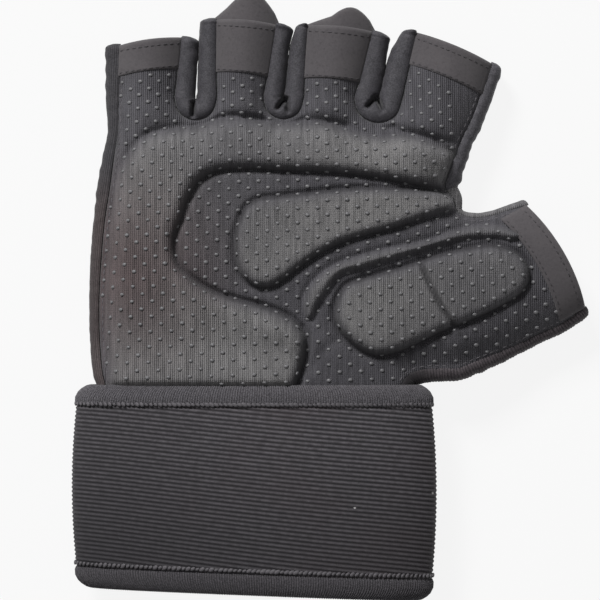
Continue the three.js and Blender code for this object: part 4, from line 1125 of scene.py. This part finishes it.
def seam_stitches():
    """Stitches just inside the side seams."""
    lines = [(resample(line[:, :2], 2.2), 1.1) for line in (pinky_seam, index_seam, thumb_seam)]
    places, alongs = [], []
    for line, inset in lines:
        run = np.gradient(line, axis=0)
        run /= np.linalg.norm(run, axis=1)[:, None]
        inside = np.column_stack([run[:, 1], -run[:, 0]])
        spots = line + inside * inset
        keep = spots[:, 1] > UPPER_RIM + 1
        places.append(spots[keep])
        alongs.append(run[keep])
    flat, run = np.vstack(places), np.vstack(alongs)
    x, y = flat[:, 0], flat[:, 1]
    up = surface_up(cloth_top, x, y)
    return small_bodies("seam_stitches", np.column_stack([x, y, cloth_top(x, y)]), up, np.column_stack([run, np.zeros(len(x))]), {
        "Length": 1.6 * MM, "Width": 0.42 * MM, "Height": 0.36 * MM, "Unevenness": 0.05, "Seed": 2, "Finish": THREAD})


def band_stitches():
    places, ups, alongs = [], [], []
    for name in FINGERS:
        (left_root, left_tip), (right_root, right_tip) = finger_seam(name, -1), finger_seam(name, 1)
        run = (right_tip - left_tip) / np.linalg.norm(right_tip - left_tip)
        for inset in (0.8, FINGERS[name][6] * BAND_HEIGHT - 1.0):
            left = lerp(left_tip, left_root, inset / np.linalg.norm(left_root - left_tip))
            right = lerp(right_tip, right_root, inset / np.linalg.norm(right_root - right_tip))
            line = resample(np.array([lerp(left, right, 0.04), lerp(left, right, 0.96)]), 1.9)
            x, y = line[:, 0], line[:, 1]
            places.append(np.column_stack([x, y, palm_top(x, y) + 0.57]))
            ups.append(surface_up(palm_top, x, y))
            alongs.append(np.tile([*run, 0], (len(x), 1)))
    for inset in (0.8, THUMB_BAND - 1.0):
        line = resample(thumb_end, 1.9)[1:-1] - THUMB_ALONG * inset
        x, y = line[:, 0], line[:, 1]
        run = np.gradient(line, axis=0)
        places.append(np.column_stack([x, y, palm_top(x, y) + 0.57]))
        ups.append(surface_up(palm_top, x, y))
        alongs.append(np.column_stack([run, np.zeros(len(x))]))
    return small_bodies("band_stitches", np.vstack(places), np.vstack(ups), np.vstack(alongs), {
        "Length": 1.3 * MM, "Width": 0.42 * MM, "Height": 0.34 * MM, "Unevenness": 0.1, "Seed": 3, "Finish": BAND_THREAD})


def own(piece, slot, *nodes):
    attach(piece, "root")
    if nodes:
        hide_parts(*nodes)
    return piece


palm = own(palm_cloth(), "knit", "palm_panel", "pad_outer", "pad_middle", "pad_thumb_base", "pad_thumb_end")
own(back_cloth(), "stretch_cloth", "back_panel")
pinky_line = resample(run_on(pinky_seam, 0, 1.5), 0.5)
near_tip = smoothstep(pinky_line[:, 1], 98, 112)
strip = side_strip("strip_pinky", pinky_line, 0.14, lerp(-0.1, 0.5, near_tip), lerp(-0.2, 0.4, near_tip), SIDE_KNIT)
own(strip, "stretch_cloth", "side_pinky")
joint = int(np.argmax(index_seam[:, 1] < UPPER_RIM + 0.74 * PALM_LENGTH))
index_line = resample(run_on(index_seam[:joint + 1], 1.5, 0.6), 0.4)
strip = side_strip("strip_index", index_line, 0.2, 0.4, 0.1, EDGE_CLOTH)
own(strip, "stretch_cloth", "side_index")
hem_line = resample(run_on(index_seam[joint:], 0, 1.8), 0.4)
hem = side_strip("hem_thumb", hem_line, 0.1, 0.0, 0.1, KNIT, rounded=(False, True))
mark(hem, "over_foam_and_painted_light", np.full(len(hem.data.vertices), 0.5))
own(hem, "stretch_cloth")
thumb_line = resample(run_on(thumb_seam, 1.5, 0), 0.2)
strip = side_strip("strip_thumb", thumb_line, 0.16, 0.1, 0.2, OVERLOCK, ribs=(0.88, 0.22), rounded=(True, False))
own(strip, "stretch_cloth", "side_thumb")
for label, seam in gap_seams.items():
    left, right = label.split("_")
    middle = (finger_seam(left, 1)[0] + finger_seam(right, -1)[0]) / 2
    meeting, turns = GAP_FOLDS[label]
    line = resample(run_on(seam, 1.5, 1.5), 0.4)
    strip = side_strip(f"fourchette_cloth_{label}", line, 0.06, 1.5, 0.1, crest=0.4, fold=(middle + meeting, turns, 3.8))
    own(strip, "stretch_cloth", f"fourchette_{label}")
for label, width, length in (("pinky", 18.7, 14), ("ring", 17.7, 20), ("middle", 20.5, 20), ("index", 24.5, 14)):
    own(finger_band(label), "suede", f"finger_band_{label}")
own(thumb_band(), "suede", "thumb_band")
for label, width, length, area in (("ring", 21.5, 14.6, 240), ("middle", 21.5, 12.2, 210)):
    own(pull_tab(label), "suede", f"pull_tab_{label}")
own(wrist_strap(), "elastic", "wrist_wrap")
own(binding_tape("tape_upper", 1), "tape", "wrap_binding_upper")
own(binding_tape("tape_lower", 0), "tape", "wrap_binding_lower")
own(closure(), "hook_tape", "closure_tab")
own(rim_stitches(), "tape")
own(grip_dots(), "knit")
own(seam_stitches(), "stretch_cloth")
own(band_stitches(), "suede")


# ---------------------------------------------------------------- studio
def studio():
    floor_mesh = bpy.data.meshes.new("table")
    floor_mesh.from_pydata([(-3, -3, 0), (3, -3, 0), (3, 3, 0), (-3, 3, 0)], [], [(0, 1, 2, 3)])
    table = bpy.data.objects.new("table", floor_mesh)
    bpy.context.scene.collection.objects.link(table)
    table.location.z = -0.0002
    white, tree, shader, place = finish_of("white table", 0.9)
    tone = blend_colours(tree, speckle(tree, place, 3, 2), (0.045, 0.045, 0.045), (0.05, 0.05, 0.05))
    tree.links.new(tone, shader.inputs["Base Color"])
    shader.inputs["Emission Color"].default_value = (1, 1, 1, 1)
    shader.inputs["Emission Strength"].default_value = 0.88
    floor_mesh.materials.append(white)

    def lamp(name, place, size, power, aim=(0.01, 0.06, 0.01)):
        light = bpy.data.lights.new(name, "AREA")
        light.size, light.energy = size, power
        obj = bpy.data.objects.new(name, light)
        obj.location = place
        obj.rotation_euler = (Vector(aim) - Vector(place)).to_track_quat("-Z", "Y").to_euler()
        bpy.context.scene.collection.objects.link(obj)

    lamp("window", (-0.55, 1.15, 1.0), 0.45, 34)
    lamp("overhead", (0.0, -0.1, 1.6), 1.0, 5)
    world = bpy.data.worlds.new("studio")
    world.use_nodes = True
    world.node_tree.nodes["Background"].inputs[0].default_value = (1, 1, 1, 1)
    world.node_tree.nodes["Background"].inputs[1].default_value = 0.16
    bpy.context.scene.world = world

    camera = bpy.data.cameras.new("camera")
    camera.lens, camera.sensor_width = 236, 36
    eye = bpy.data.objects.new("camera", camera)
    eye.location = (0.0138, 0.057, 1.2)
    bpy.context.scene.collection.objects.link(eye)
    bpy.context.scene.camera = eye
    bpy.context.scene.view_settings.view_transform = "Standard"


studio()
